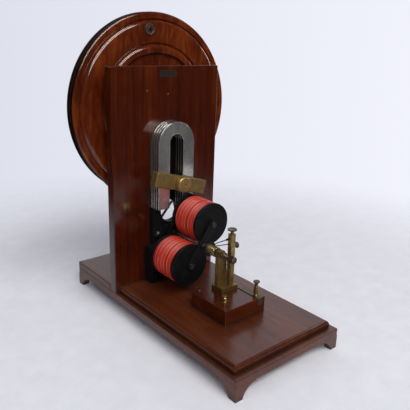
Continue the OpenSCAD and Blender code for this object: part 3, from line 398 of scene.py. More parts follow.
def red_cotton(name):
    """Vermilion cotton lapped round wire: each turn a little different, with painted shade between the turns
    and painted glints along them.
    """
    shader = Shader(bpy.data.materials.new(name))
    x, y, z = shader.axes()
    angle = shader.math("ARCTAN2", z, x)
    strands_round = 520.0
    strands_along = 2600.0
    threads = shader.math("SINE", shader.math("ADD", shader.math("MULTIPLY", angle, strands_round),
                                              shader.math("MULTIPLY", y, strands_along)))
    # Painted shade: darker deeper in the winding, so the inner layer shows dark between the turns
    depth = shader.between(shader.hypot(x, z), (WINDING_MID_R - 0.6) * MM, (WINDING_MID_R + 0.9) * MM)
    pitch = (COIL_LEN - 2 * CHEEK_T - 2 * WIRE_BEND) / TURNS
    first = COIL_FRONT + CHEEK_T + WIRE_BEND
    climb = shader.math("DIVIDE", shader.math("SUBTRACT", y, first * MM), pitch * MM)
    count = shader.math("ADD", shader.math("SUBTRACT", climb, shader.math("DIVIDE", angle, 2 * math.pi)), 0.5)
    turn = shader.math("FLOOR", count)
    own = shader.add("ShaderNodeTexWhiteNoise", {"noise_dimensions": "1D"}, W=turn).outputs["Value"]
    slow = shader.noise(shader.position, 45.0, 2.0, 0.5)
    odd = shader.math("FRACT", shader.math("MULTIPLY", turn, 0.5))
    lot = shader.math("ADD", shader.math("MULTIPLY", odd, 0.7), shader.math("MULTIPLY", own, 0.4))
    shade = shader.math("ADD", lot, shader.math("MULTIPLY", slow, 0.3))
    aside = shader.math("ABSOLUTE", shader.math("SUBTRACT", shader.math("FRACT", count), 0.5))
    # Painted shade along the grooves between the turns
    groove = shader.between(aside, 0.24, 0.48, "SMOOTHSTEP")
    # Painted glints: pale flecks along the turns, placed by this noise
    worn = shader.noise(shader.stretched((0.3, 1.6, 0.3)), 320.0, 3.0, 0.6)
    tone = shader.ramp(shade, [(0.20, (0.26, 0.007, 0.004)), (0.42, (0.48, 0.019, 0.009)),
                               (0.62, (0.67, 0.036, 0.014)), (0.86, (0.77, 0.105, 0.038))])
    painted_glints = shader.mix(shader.ramp(worn, [(0.62, 0.0), (0.76, 0.6)]), tone, colour(0.86, 0.46, 0.33))
    painted_gap_shade = colour(0.13, 0.006, 0.0035)
    lined = shader.mix(groove, painted_glints, painted_gap_shade)
    final = shader.mix(depth, painted_gap_shade, lined)
    shader.surface(Base_Color=final, Roughness=shader.span(lot, 0.55, 0.16), Specular_IOR_Level=0.3,
                   Normal=shader.bump(threads, 0.08, 0.15 * MM))
    return shader.owner


def belt_leather(name):
    """Dark grained leather, worn paler along its edges."""
    shader = Shader(bpy.data.materials.new(name))
    grain = shader.noise(shader.position, 900.0, 4.0, 0.65)
    cloud = shader.noise(shader.position, 60.0, 3.0, 0.6)
    tone = shader.ramp(cloud, [(0.3, (0.020, 0.010, 0.006)), (0.7, (0.060, 0.030, 0.016))])
    worn, rounded = shader.edges(0.4 * MM)
    final = shader.mix(shader.math("MULTIPLY", worn, 0.4), tone, colour(0.14, 0.08, 0.045))
    shader.surface(Base_Color=final, Roughness=shader.span(grain, 0.45, 0.7), Specular_IOR_Level=0.35,
                   Normal=shader.bump(grain, 0.25, 0.2 * MM, rounded))
    return shader.owner


def coil_matrix(side):
    """The place of a coil: 0 is the upper coil and 1 the lower coil."""
    turn = Matrix.Rotation(math.radians(-COIL_ANGLE - 180.0 * side), 4, "Y")
    return Matrix.Translation((0, 0, SHAFT_Z * MM)) @ turn @ Matrix.Translation((COIL_REACH * MM, 0, 0))


# Painted shade on the upright behind the magnets' slot: half its width, its foot and its top
SLOT_SHADE = (17.0, POLE_Z, POLE_Z + 138.0)

# Woods: the grain's axis, and the dark, middle and light tones
upright_wood = mahogany("mahogany_upright", "Z", (0.021, 0.0023, 0.0005), (0.050, 0.0060, 0.0010),
                        (0.112, 0.0190, 0.0030), coat=0.95, gloss=0.14, shade=SLOT_SHADE, edge=1.6)
base_wood = mahogany("mahogany_base", "Y", (0.045, 0.0085, 0.0024), (0.082, 0.0175, 0.0050),
                     (0.130, 0.033, 0.0095), coat=0.85, gloss=0.24, grime_and_corner_shade=0.85)
# The moulded board's upright faces: the base wood darker as painted shade, with less polish
shaded_edge_wood = mahogany("mahogany_edge", "Y", (0.034, 0.0058, 0.0016), (0.064, 0.0125, 0.0034),
                     (0.110, 0.026, 0.0072), coat=0.45, gloss=0.26, grime_and_corner_shade=0.85)
block_wood = mahogany("mahogany_block", "X", (0.034, 0.0042, 0.0007), (0.062, 0.0090, 0.0014),
                      (0.105, 0.020, 0.0030), coat=0.80, gloss=0.20, grime_and_corner_shade=0.4)
wheel_wood = mahogany("mahogany_wheel", "Z", (0.030, 0.0034, 0.0006), (0.088, 0.0125, 0.0020),
                      (0.210, 0.0400, 0.0060), coat=1.0, gloss=0.12, stretch=0.22)
rim_wood = mahogany("mahogany_rim", "Y", (0.0050, 0.0020, 0.0012), (0.0085, 0.0034, 0.0020),
                    (0.0140, 0.0055, 0.0032), coat=0.04, gloss=0.30)

# Brasses: bright tone, dull tone, share of metal, roughness and patina
olive_brass = brass("brass_olive", (0.245, 0.156, 0.047), (0.118, 0.075, 0.026), 0.66, 0.38, 0.8)
nut_brass = brass("brass_nut", (0.330, 0.213, 0.066), (0.180, 0.112, 0.035), 0.66, 0.34, 0.7)
stand_brass = brass("brass_stand", (0.26, 0.170, 0.054), (0.11, 0.070, 0.024), 0.88, 0.34, 0.8)
yellow_brass = brass("brass_yellow", (0.37, 0.262, 0.094), (0.14, 0.095, 0.035), 0.90, 0.27, 0.9)
bright_brass = brass("brass_bright", (0.80, 0.66, 0.30), (0.52, 0.40, 0.16), 0.90, 0.18, 0.4)
dark_brass = brass("brass_dark", (0.105, 0.075, 0.040), (0.045, 0.031, 0.018), 0.70, 0.28, 0.9)
plate_brass = brass("brass_plate", (0.060, 0.046, 0.034), (0.020, 0.016, 0.013), 0.60, 0.30, 0.9)
strap_brass = brass("brass_strap", (0.115, 0.092, 0.048), (0.060, 0.050, 0.030), 0.60, 0.34, 0.9)
rose_brass = brass("brass_rose", (0.135, 0.085, 0.055), (0.055, 0.033, 0.022), 0.60, 0.32, 0.9)

# Steels: bright tone, dull tone, share of metal and roughness
magnet_steel = steel("steel_magnet", (0.64, 0.620, 0.585), (0.33, 0.320, 0.302), 0.76, 0.10)
rim_steel = steel("steel_rim", (0.36, 0.330, 0.305), (0.16, 0.147, 0.137), 0.80, 0.14)
bright_steel = steel("steel_bright", (0.50, 0.485, 0.46), (0.30, 0.29, 0.275), 0.85, 0.26)
dark_steel = steel("steel_dark", (0.060, 0.057, 0.053), (0.022, 0.021, 0.020), 0.75, 0.32)

# Blacks: tone, roughness and grit
# Painted shade: a black for the faces inside the magnets' slot
slot_shade_black = black_paint("painted_slot_shade", (0.0050, 0.0050, 0.0050), 0.55, 0.10)
cast_black = black_paint("iron_black", (0.0045, 0.0045, 0.0048), 0.40, 0.18)
cheek_black = turned_black("cheek_black")
ebonite_black = black_paint("ebonite_black", (0.007, 0.007, 0.007), 0.30, 0.05)
cotton = red_cotton("red_cotton")
leather = belt_leather("belt_leather")

NODE_MATERIALS = {
    upright_wood: ("upright",),
    base_wood: ("plinth_board", "foot_front_left", "foot_front_right", "foot_back_left", "foot_back_right",
                "front_board", "back_board"),
    block_wood: ("terminal_block",),
    wheel_wood: ("drive_wheel", "handle_grip"),
    olive_brass: ("clamp_bar", "axle_flange", "axle_nut", "wheel_bush", "armature_pulley", "bearing_bush"),
    nut_brass: ("clamp_nut", "clamp_bolt"),
    stand_brass: ("bearing_standard", "brass_plinth"),
    yellow_brass: ("brush_pillar", "terminal_post", "short_post"),
    bright_brass: ("commutator_segments",),
    plate_brass: ("name_plate",),
    dark_brass: ("pivot_screw", "pivot_lock_nut", "side_thumbscrew",
                 "top_thumbscrew", "post_thumbscrew"),
    strap_brass: ("terminal_strap", "upright_plugs"),
    rose_brass: ("crank_rosette",),
    magnet_steel: ("magnet_plate_1", "magnet_plate_2", "magnet_plate_3", "magnet_plate_4"),
    bright_steel: ("flange_screws", "wheel_axle", "armature_shaft"),
    dark_steel: ("pedestal_bolts", "block_screw", "crank_spindle", "yoke_screws", "shaft_nut"),
    cast_black: ("bearing_pedestal", "yoke_bar", "rear_bar", "brush_upper", "brush_lower"),
    cheek_black: ("bobbin_upper", "bobbin_lower"),
    ebonite_black: ("commutator_hub",),
    cotton: ("winding_core_upper", "winding_core_lower", "winding_upper", "winding_lower"),
    leather: ("drive_belt",),
}

for material, names in NODE_MATERIALS.items():
    for name in names:
        mesh = nodes[name].data
        mesh.materials.clear()
        mesh.materials.append(material)


# Mesh helpers

def new_piece(name, points, faces, material, matrix=None, smooth_angle=35.0):
    """A mesh piece from points in millimetres, smooth where its faces meet at less than an angle."""
    mesh = bpy.data.meshes.new(name)
    mesh.from_pydata([Vector(point) * MM for point in points], [], faces)
    mesh.validate()
    work = bmesh.new()
    work.from_mesh(mesh)
    bmesh.ops.recalc_face_normals(work, faces=work.faces)
    limit = math.radians(smooth_angle)
    for face in work.faces:
        face.smooth = True
    for edge in work.edges:
        edge.smooth = edge.is_manifold and edge.calc_face_angle(0.0) < limit
    work.to_mesh(mesh)
    work.free()
    mesh.materials.append(material)
    piece = bpy.data.objects.new(name, mesh)
    bpy.context.scene.collection.objects.link(piece)
    piece.modifiers.new("flat_faces", "WEIGHTED_NORMAL").keep_sharp = True
    if matrix is not None:
        piece.matrix_world = matrix
    return piece


def stand_for(piece, body, slot, *replaced):
    """Sets a piece on its body and hides the CAD nodes that it replaces; the slot, a finish's name, is not
    used.
    """
    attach(piece, body)
    if replaced:
        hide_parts(*replaced)


def grid_faces(rows, columns, closed_rows=False):
    """Faces between rows of points that each close on themselves."""
    faces = []
    for row in range(rows if closed_rows else rows - 1):
        near = row * columns
        far = (row + 1) % rows * columns
        for column in range(columns):
            after = (column + 1) % columns
            faces.append((near + column, near + after, far + after, far + column))
    return faces


def capped_faces(rows, columns):
    """Faces between rows of points, with a face over each end."""
    faces = grid_faces(rows, columns)
    faces.append(tuple(range(columns)))
    faces.append(tuple((rows - 1) * columns + column for column in reversed(range(columns))))
    return faces


def lathe(profile, sides, closed=True):
    """Points and faces of an outline of (radius, place along Y, tooth depth) turned round the Y axis.

    A tooth takes four sides: two at the full radius and two cut in by its depth.
    """
    points = []
    for radius, along, tooth in profile:
        for side in range(sides):
            angle = 2 * math.pi * side / sides
            reach = radius - (tooth if side % 4 > 1 else 0.0)
            points.append(Vector((reach * math.cos(angle), along, reach * math.sin(angle))))
    rows = len(profile)
    faces = grid_faces(rows, sides, closed_rows=True) if closed else capped_faces(rows, sides)
    return points, faces


def plain(profile):
    """An outline of (radius, place) with no teeth."""
    return [(radius, along, 0.0) for radius, along in profile]


def joined(first, second):
    """Points and faces of two shapes as one."""
    points, faces = first
    more_points, more_faces = second
    start = len(points)
    return points + more_points, faces + [tuple(start + corner for corner in face) for face in more_faces]


def arc(centre, radius, start, end, steps):
    """Points of an arc between two angles in degrees."""
    points = []
    for step in range(steps + 1):
        angle = math.radians(start + (end - start) * step / steps)
        points.append((centre[0] + radius * math.cos(angle), centre[1] + radius * math.sin(angle)))
    return points


def inset(outline, amount):
    """A closed outline moved inwards, with its corners mitred."""
    count = len(outline)
    area = sum(outline[i][0] * outline[(i + 1) % count][1] - outline[(i + 1) % count][0] * outline[i][1]
               for i in range(count))
    sign = 1.0 if area > 0 else -1.0
    moved = []
    for i in range(count):
        before = Vector(outline[i]) - Vector(outline[i - 1])
        after = Vector(outline[(i + 1) % count]) - Vector(outline[i])
        first = sign * Vector((-before.y, before.x)).normalized()
        second = sign * Vector((-after.y, after.x)).normalized()
        reach = (first + second) / (1.0 + first.dot(second))
        moved.append(tuple(Vector(outline[i]) + amount * reach))
    return moved


def stacked(outline, rows):
    """Points and faces of a solid: an outline in X and Z, moved inwards in rows of (inset, place along Y)."""
    points = []
    for amount, along in rows:
        points += [(x, along, z) for x, z in inset(outline, amount)]
    return points, capped_faces(len(rows), len(outline))


def rounded_rows(low, high, low_bevel, high_bevel, steps=3):
    """Rows that round the two rims of a slab."""
    rows = []
    for step in range(steps + 1):
        turn = math.pi / 2 * step / steps
        rows.append((low_bevel * (1 - math.sin(turn)), low + low_bevel * (1 - math.cos(turn))))
    for step in range(steps + 1):
        turn = math.pi / 2 * step / steps
        rows.append((high_bevel * (1 - math.cos(turn)), high - high_bevel * (1 - math.sin(turn))))
    return rows


def soft_outline(low, high, corner):
    """A rectangle between two corners, with rounded corners."""
    left, near = low[0] + corner, low[1] + corner
    right, far = high[0] - corner, high[1] - corner
    outline = []
    for centre, start in (((right, far), 0), ((left, far), 90), ((left, near), 180), ((right, near), 270)):
        outline += arc(centre, corner, start, start + 90, 4)
    return outline


def upright_solid(outline, rows):
    """A stacked solid that stands up, with its outline in X and Y and its rows along Z."""
    points, faces = stacked(outline, rows)
    return [(x, y, z) for x, z, y in points], faces


# Windings

# The wire's tube: rings to a turn, sides, steps of a bend, and how fast its unevenness sets in from each end
WIRE_RINGS = 48
WIRE_SIDES = 12
BEND_STEPS = 6
EASE_RATE = 6

# The inner winding: its ribs' swell and number, steps to a rib, sides, and its gap to a cheek
INNER_SWELL = 0.5
INNER_RIBS = 15
RIB_STEPS = 8
INNER_SIDES = 64
CHEEK_GAP = 0.05


def winding_line(jitter, lift):
    """Middle line of the outer layer in its coil's frame, with the small unevenness of hand winding."""
    length = COIL_LEN - 2 * CHEEK_T
    rise = length - 2 * WIRE_BEND
    run = 2 * math.pi * WINDING_MID_R * TURNS
    flat = [(0.0, -WIRE_D, 0.0), (0.0, -WIRE_D / 2, 0.0)]
    for step in range(BEND_STEPS + 1):
        turn = math.pi / 2 * step / BEND_STEPS
        flat.append((WIRE_BEND * (1 - math.cos(turn)), WIRE_BEND * math.sin(turn), 0.0))
    count = TURNS * WIRE_RINGS
    for ring in range(1, count):
        share = ring / count
        ease = min(1.0, EASE_RATE * share, EASE_RATE * (1 - share))
        flat.append((WIRE_BEND + run * share, WIRE_BEND + rise * share + ease * jitter(share * TURNS),
                     ease * lift(share * TURNS)))
    for step in range(BEND_STEPS + 1):
        turn = math.pi / 2 * step / BEND_STEPS
        flat.append((WIRE_BEND + run + WIRE_BEND * math.sin(turn), length - WIRE_BEND * math.cos(turn), 0.0))
    flat.append((2 * WIRE_BEND + run, length + WIRE_D / 2, 0.0))
    flat.append((2 * WIRE_BEND + run, length + WIRE_D, 0.0))
    line = []
    for along, up, out in flat:
        angle = along / WINDING_MID_R
        reach = WINDING_MID_R + out
        line.append(Vector((reach * math.cos(angle), COIL_FRONT + CHEEK_T + up, reach * math.sin(angle))))
    return line


def tube(line, radius, sides):
    """Points and faces of a closed tube along a line that winds round the Y axis."""
    points = []
    last = len(line) - 1
    for index, centre in enumerate(line):
        heading = (line[min(index + 1, last)] - line[max(index - 1, 0)]).normalized()
        out = Vector((centre.x, 0.0, centre.z)).normalized()
        aside = heading.cross(out).normalized()
        out = aside.cross(heading)
        for side in range(sides):
            angle = 2 * math.pi * side / sides
            points.append(centre + radius * (math.cos(angle) * out + math.sin(angle) * aside))
    return points, capped_faces(len(line), sides)


def wavering(chance, low, high):
    """A smooth uneven line made of three slow waves."""
    waves = []
    for _ in range(3):
        waves.append((chance.uniform(low, high), chance.uniform(0.15, 0.45), chance.uniform(0.0, math.tau)))
    return lambda turn: sum(size * math.sin(math.tau * pace * turn + phase) for size, pace, phase in waves)


def make_winding(side, name):
    """One coil's wire over its ribbed inner winding, as one piece."""
    chance = random.Random(11 + side)
    line = winding_line(wavering(chance, 0.05, 0.11), wavering(chance, 0.06, 0.16))
    wire = tube(line, WIRE_D / 2, WIRE_SIDES)
    low = COIL_FRONT + CHEEK_T + CHEEK_GAP
    high = COIL_FRONT + COIL_LEN - CHEEK_T - CHEEK_GAP
    steps = INNER_RIBS * RIB_STEPS
    profile = [(CORE_R, high), (CORE_R, low)]
    for step in range(steps + 1):
        share = step / steps
        swell = abs(math.sin(math.pi * INNER_RIBS * share))
        profile.append((INNER_WINDING_R + INNER_SWELL * swell, low + (high - low) * share))
    points, faces = joined(wire, lathe(plain(profile), INNER_SIDES))
    piece = new_piece(f"{name}_turns", points, faces, cotton, coil_matrix(side), 60.0)
    stand_for(piece, "armature", "red_cotton", f"winding_{name}", f"winding_core_{name}")


make_winding(0, "upper")
make_winding(1, "lower")


# Drive belt

def make_belt():
    """A flat leather band with rounded edges round the wheel and the pulley."""
    drop = WHEEL_Z - SHAFT_Z
    slope = math.asin((BELT_WHEEL_R - PULLEY_PITCH) / drop)
    stations = []
    wheel_steps = 180
    pulley_steps = 48
    for step in range(wheel_steps + 1):
        stations.append((drop, BELT_WHEEL_R, (math.pi + 2 * slope) * step / wheel_steps - slope))
    for step in range(pulley_steps + 1):
        stations.append((0.0, PULLEY_PITCH, math.pi + slope + (math.pi - 2 * slope) * step / pulley_steps))
    ease = 0.5
    corners = []
    for quarter, (across, thick) in enumerate(((1, 1), (-1, 1), (-1, -1), (1, -1))):
        centre = (across * (BELT_W / 2 - ease), thick * (BELT_T / 2 - ease))
        corners += arc(centre, ease, 90 * quarter, 90 * quarter + 90, 2)
    points = []
    for height, radius, angle in stations:
        for across, thick in corners:
            reach = radius + thick
            rise = height + reach * math.sin(angle)
            points.append((reach * math.cos(angle), WHEEL_Y + across, SHAFT_Z + rise))
    faces = grid_faces(len(stations), len(corners), closed_rows=True)
    piece = new_piece("belt_band", points, faces, leather, smooth_angle=50.0)
    stand_for(piece, "frame", "leather", "drive_belt")


make_belt()


# Magnets and clamp bar

def horseshoe_outline():
    """A horseshoe with its poles down, a round crown and a round slot."""
    half = MAGNET_W / 2
    slot = SLOT_W / 2
    crown = POLE_Z + MAGNET_H - half
    slot_top = POLE_Z + MAGNET_H - CROWN_T - slot
    outline = [(half, POLE_Z)]
    outline += arc((0, crown), half, 0, 180, 48)
    outline += [(-half, POLE_Z), (-slot, POLE_Z)]
    outline += arc((0, slot_top), slot, 180, 0, 32)
    outline.append((slot, POLE_Z))
    return outline


def make_magnets():
    """Four horseshoe plates: bright faces, darker rims, and painted shade in black inside the slot."""
    outline = horseshoe_outline()
    slot_side = (SLOT_W / 2 + 0.3) * MM
    slot_top = (POLE_Z + MAGNET_H - CROWN_T + 0.4) * MM
    pole_end = (POLE_Z + 1.0) * MM
    for number in range(1, 5):
        back = UPRIGHT_SET - (number - 1) * MAGNET_PITCH
        points, faces = stacked(outline, rounded_rows(back - MAGNET_T, back, 0.9, 0.9))
        piece = new_piece(f"horseshoe_{number}", points, faces, magnet_steel, smooth_angle=40.0)
        piece.data.materials.append(slot_shade_black)
        piece.data.materials.append(rim_steel)
        # The flat faces and the pole ends keep the bright steel
        for polygon in piece.data.polygons:
            if abs(polygon.normal.y) > 0.3:
                continue
            middle = polygon.center
            # Black on the faces inside the slot is painted shade
            inner = abs(middle.x) < slot_side and middle.z < slot_top
            if middle.z > pole_end:
                polygon.material_index = 1 if inner else 2
        stand_for(piece, "frame", "steel", f"magnet_plate_{number}")


def make_clamp_bar():
    """The slanting bar that holds the magnets, with its edges rounded."""
    outline = soft_outline((-BAR_LEN / 2, -BAR_H / 2), (BAR_LEN / 2, BAR_H / 2), 2.0)
    points, faces = stacked(outline, rounded_rows(STACK_FRONT - BAR_T, STACK_FRONT, 1.8, 0.4))
    place = Matrix.Translation((0, 0, CLAMP_Z * MM)) @ Matrix.Rotation(math.radians(BAR_TILT), 4, "Y")
    piece = new_piece("cast_bar", points, faces, olive_brass, place, 40.0)
    stand_for(piece, "frame", "brass", "clamp_bar")


make_magnets()
make_clamp_bar()


# Boards

# The front board's edge in rows of (inset, height above the plinth)
FRONT_MOULDING = ((0.0, 0.0), (0.0, 6.4), (0.35, 7.0), (1.0, 7.2), (1.15, 8.2), (1.6, 9.3),
                  (2.4, 10.3), (3.4, 10.9), (4.2, 11.1), (4.4, 11.5), (4.7, 11.9), (5.4, 12.2))


def make_board(name, low, high, bevel, material, replaced):
    """A board with round upright corners and a round top rim."""
    points, faces = upright_solid(soft_outline(low, high, 1.8), rounded_rows(low[2], high[2], 0.15, bevel))
    stand_for(new_piece(name, points, faces, material), "frame", "mahogany", replaced)


def make_boards():
    """The plinth, the back board, the terminal block, and the front board with its moulded edge."""
    make_board("plinth_slab", (-HALF_W, -HALF_LEN, PLINTH_LOW), (HALF_W, HALF_LEN, PLINTH_TOP), 1.3,
               base_wood, "plinth_board")
    make_board("back_slab", (-HALF_W, UPRIGHT_BACK, PLINTH_TOP), (HALF_W, HALF_LEN, DECK), 1.4,
               base_wood, "back_board")
    make_board("block_slab", (-BLOCK_W / 2, BLOCK_FRONT, DECK), (BLOCK_W / 2, BLOCK_REAR, BLOCK_TOP), 0.9,
               block_wood, "terminal_block")
    outline = [(HALF_W - SIDE_LEDGE, UPRIGHT_SET), (SIDE_LEDGE - HALF_W, UPRIGHT_SET),
               (SIDE_LEDGE - HALF_W, FRONT_LEDGE - HALF_LEN), (HALF_W - SIDE_LEDGE, FRONT_LEDGE - HALF_LEN)]
    rows = [(amount, PLINTH_TOP + rise) for amount, rise in FRONT_MOULDING]
    points, faces = upright_solid(outline, rows)
    points = [(x, UPRIGHT_SET if y > 0 else y, z) for x, y, z in points]
    piece = new_piece("moulded_board", points, faces, base_wood)
    # Its upright faces take the darker wood, which is painted shade
    piece.data.materials.append(shaded_edge_wood)
    for polygon in piece.data.polygons:
        if abs(polygon.normal.z) < 0.95:
            polygon.material_index = 1
    stand_for(piece, "frame", "mahogany", "front_board")


make_boards()


# Hand wheel

# The dark band in and beside the belt's groove: its least radius and half its width
RIM_DARK_R = 159.0
RIM_DARK_HALF = 9.0


def make_wheel():
    """The turned wheel: a rounded rim with its belt groove, two moulded steps and a dished middle."""
    # The bore, the hub and the dish of the front
    profile = [(11.05, 11.0), (11.05, -18.0), (29.0, -18.0), (30.0, -17.4), (30.0, -12.4), (31.2, -12.0)]
    # The two moulded steps
    profile += [(94.0, -12.0), (96.0, -12.6), (97.0, -14.0), (97.0, -17.2), (97.8, -18.0), (101.6, -18.0)]
    profile += arc((103.4, -10.4), 7.6, 270, 332, 18)
    profile += arc((112.4, -12.9), 1.6, 160, 90, 4)
    profile += [(114.0, -14.5), (142.6, -14.5)]
    profile += arc((143.4, -6.3), 8.2, 270, 330, 18)
    profile += arc((152.6, -9.6), 1.4, 160, 90, 4)
    # The rim with its belt groove
    profile += [(153.6, -11.0), (160.0, -11.0)]
    profile += arc((160.6, -7.0), 4.0, 275, 360, 8)
    profile += [(164.6, -2.85), (159.95, -2.85), (159.95, 2.85), (164.6, 2.85)]
    profile += arc((161.1, 7.5), 3.5, 0, 90, 6)
    # The back with its two turned lines
    profile += [(150.5, 11.0), (150.0, 10.4), (149.0, 10.4), (148.5, 11.0), (60.5, 11.0), (60.0, 10.4)]
    profile += [(59.0, 10.4), (58.5, 11.0)]
    points, faces = lathe(plain(profile), 192)
    place = Matrix.Translation((0, WHEEL_Y * MM, WHEEL_Z * MM))
    piece = new_piece("turned_wheel", points, faces, wheel_wood, place, 38.0)
    piece.data.materials.append(rim_wood)
    for polygon in piece.data.polygons:
        middle = polygon.center
        if math.hypot(middle.x, middle.z) > RIM_DARK_R * MM and abs(middle.y) < RIM_DARK_HALF * MM:
            polygon.material_index = 1
    stand_for(piece, "wheel", "mahogany", "drive_wheel")


make_wheel()


# Screws

KNURL_SIDES = 144


def thumb_profile(depth, head_r):
    """A thumbscrew from the end of its stem to the dish in its flared, knurled head."""
    flare = SEAT_GAP + 3.0
    head = SEAT_GAP + 6.0
    top = SEAT_GAP + 8.4
    tip = SEAT_GAP - depth
    stem = 2.0
    neck = 2.4
    knurl = 0.3
    profile = plain([(stem - 0.4, tip), (stem, tip + 0.5), (stem, SEAT_GAP), (2.9, SEAT_GAP)])
    profile += plain([(3.0, SEAT_GAP + 0.2), (2.9, SEAT_GAP + 1.0), (2.45, SEAT_GAP + 1.6), (neck, flare)])
    profile += plain([(neck + 0.34 * (head_r - neck), flare + 1.4), (head_r - 0.4, head - 0.1)])
    profile += [(head_r, head + 0.4, knurl), (head_r, top - 0.5, knurl), (head_r - 0.4, top, 0.0)]
    profile += plain([(0.85 * head_r, top - 0.1), (0.6 * head_r, top - 0.6)])
    profile += plain([(0.3 * head_r, top - 0.9), (0.3, top - 1.0)])
    return profile


def make_thumbscrews():
    """The pillar's two thumbscrews and the one on the terminal post."""
    upright = Matrix.Rotation(math.radians(90.0), 4, "X")
    sideways = Matrix.Rotation(math.radians(-90.0), 4, "Z")
    side_seat = Vector((PILLAR[0] + PILLAR_W / 2, PILLAR[1], SIDE_SCREW_Z))
    places = {
        "top_thumbscrew": (Vector((*PILLAR, PILLAR_TOP)), upright, 7.0, TOP_HEAD_R),
        "side_thumbscrew": (side_seat, sideways, 4.8, THUMB_HEAD_R),
        "post_thumbscrew": (Vector((*POST, POST_TOP)), upright, 7.0, THUMB_HEAD_R),
    }
    for body, (seat, turn, depth, head_r) in places.items():
        points, faces = lathe(thumb_profile(depth, head_r), KNURL_SIDES, False)
        place = Matrix.Translation(seat * MM) @ turn
        piece = new_piece(f"{body}_knurled", points, faces, dark_brass, place, 30.0)
        stand_for(piece, body, "brass", body)


def make_pivot():
    """The pivot screw with its knurled head and thread, and its lock nut."""
    front = PIVOT_FRONT - PIVOT_HEAD_LEN
    knurl = 0.4
    root = PIVOT_R - 0.4
    profile = plain([(1.4, front + 0.6), (4.2, front), (5.0, front)])
    profile += [(PIVOT_HEAD_R, front + 1.0, knurl), (PIVOT_HEAD_R, PIVOT_FRONT - 1.0, knurl)]
    profile += plain([(5.0, PIVOT_FRONT), (root, PIVOT_FRONT)])
    pitch = 1.0
    turns = int((PIVOT_BACK - PIVOT_FRONT) / pitch) - 1
    for turn in range(turns):
        start = PIVOT_FRONT + 0.3 + pitch * turn
        profile += plain([(root, start), (PIVOT_R, start + 0.4 * pitch), (PIVOT_R, start + 0.6 * pitch)])
    profile += plain([(root, PIVOT_BACK), (TIP_HOLE_R, PIVOT_BACK), (TIP_HOLE_R, PIVOT_BACK - TIP_LEN)])
    points, faces = lathe(profile, KNURL_SIDES, False)
    place = Matrix.Translation((0, 0, SHAFT_Z * MM))
    screw = new_piece("pivot_knurled", points, faces, dark_brass, place, 30.0)
    stand_for(screw, "pivot_screw", "brass", "pivot_screw")
    back = LOCK_FRONT + LOCK_T
    bore = PIVOT_R + 0.1
    face = LOCK_R - 0.8
    ring = plain([(bore, back), (bore, LOCK_FRONT), (face, LOCK_FRONT)])
    ring += [(LOCK_R, LOCK_FRONT + 0.8, knurl), (LOCK_R, back - 0.8, knurl), (face, back, 0.0)]
    points, faces = lathe(ring, KNURL_SIDES)
    nut = new_piece("lock_knurled", points, faces, dark_brass, place, 30.0)
    stand_for(nut, "frame", "brass", "pivot_lock_nut")


def make_name_plate():
    """The bare plate on the upright, with rounded edges and a pin at each end."""
    half_w = PLATE_W / 2
    half_h = PLATE_H / 2
    outline = soft_outline((-half_w, -half_h), (half_w, half_h), 0.8)
    front = UPRIGHT_SET - PLATE_SKIN
    shape = stacked(outline, rounded_rows(front + 0.2, UPRIGHT_SET, 0.25, 0.05, 2))
    pin = plain([(0.3, front), (0.7, front + 0.1), (0.95, front + 0.4)])
    pin_points, pin_faces = lathe(pin, 20, False)
    for across in (-1, 1):
        shift = Vector((across * (half_w - 2.6), 0, 0))
        shape = joined(shape, ([point + shift for point in pin_points], pin_faces))
    place = Matrix.Translation((0, 0, PLATE_Z * MM))
    piece = new_piece("bare_plate", *shape, plate_brass, place, 30.0)
    stand_for(piece, "frame", "brass", "name_plate")


def make_collar():
    """The dark collar round the upper brush wire, close to its pillar."""
    start = Vector((PILLAR[0] - PILLAR_W / 2, PILLAR[1], SHAFT_Z + BRUSH_RISE))
    heading = (Vector((0.0, BRUSH_END_Y, BRUSH_END_Z)) - start).normalized()
    profile = plain([(0.85, 3.2), (1.5, 3.2), (1.9, 3.6), (1.9, 7.4), (1.5, 7.8), (0.85, 7.8)])
    points, faces = lathe(profile, 32)
    turn = Vector((0.0, 1.0, 0.0)).rotation_difference(heading).to_matrix().to_4x4()
    piece = new_piece("brush_collar", points, faces, cast_black, Matrix.Translation(start * MM) @ turn, 40.0)
    stand_for(piece, "frame", "black_iron")


make_thumbscrews()
make_pivot()
make_name_plate()
make_collar()


# Floor, light and background

# Distances in metres: where the paper starts and ends its fade, and the same for the dark cloth
FLOOR_FADE = (0.40, 1.15)
CLOTH_FADE = (0.45, 0.90)

# The cloth lies in rings on the floor and rises as a dome, with an opening in its lower rows
CLOTH_RINGS = (0.45, 0.65, 0.9, 1.6, 2.8)
CLOTH_LIFT = 0.004
DOME_R = 4.6
OPEN_ROWS = 11
OPEN_COLUMNS = range(1, 20)

# The pale card on the cloth: its slant to the front and its distance, each with half its extent
CARD_SLANT = (0.90, 0.09)
CARD_DISTANCE = (0.93, 0.11)

# The room: the share of its brightness that falls as light, its way to the right, the ends of its fade along
# that way, and its tones at those ends
ROOM_LIGHT = 0.42
ROOM_RIGHT = (0.77, -0.64, 0.0)
ROOM_FADE = (-0.4, 0.4)
ROOM_TONES = ((0.730, 0.745, 0.835), (0.890, 0.898, 0.985))

# The height in metres that the lamps face
LAMP_AIM = 0.2


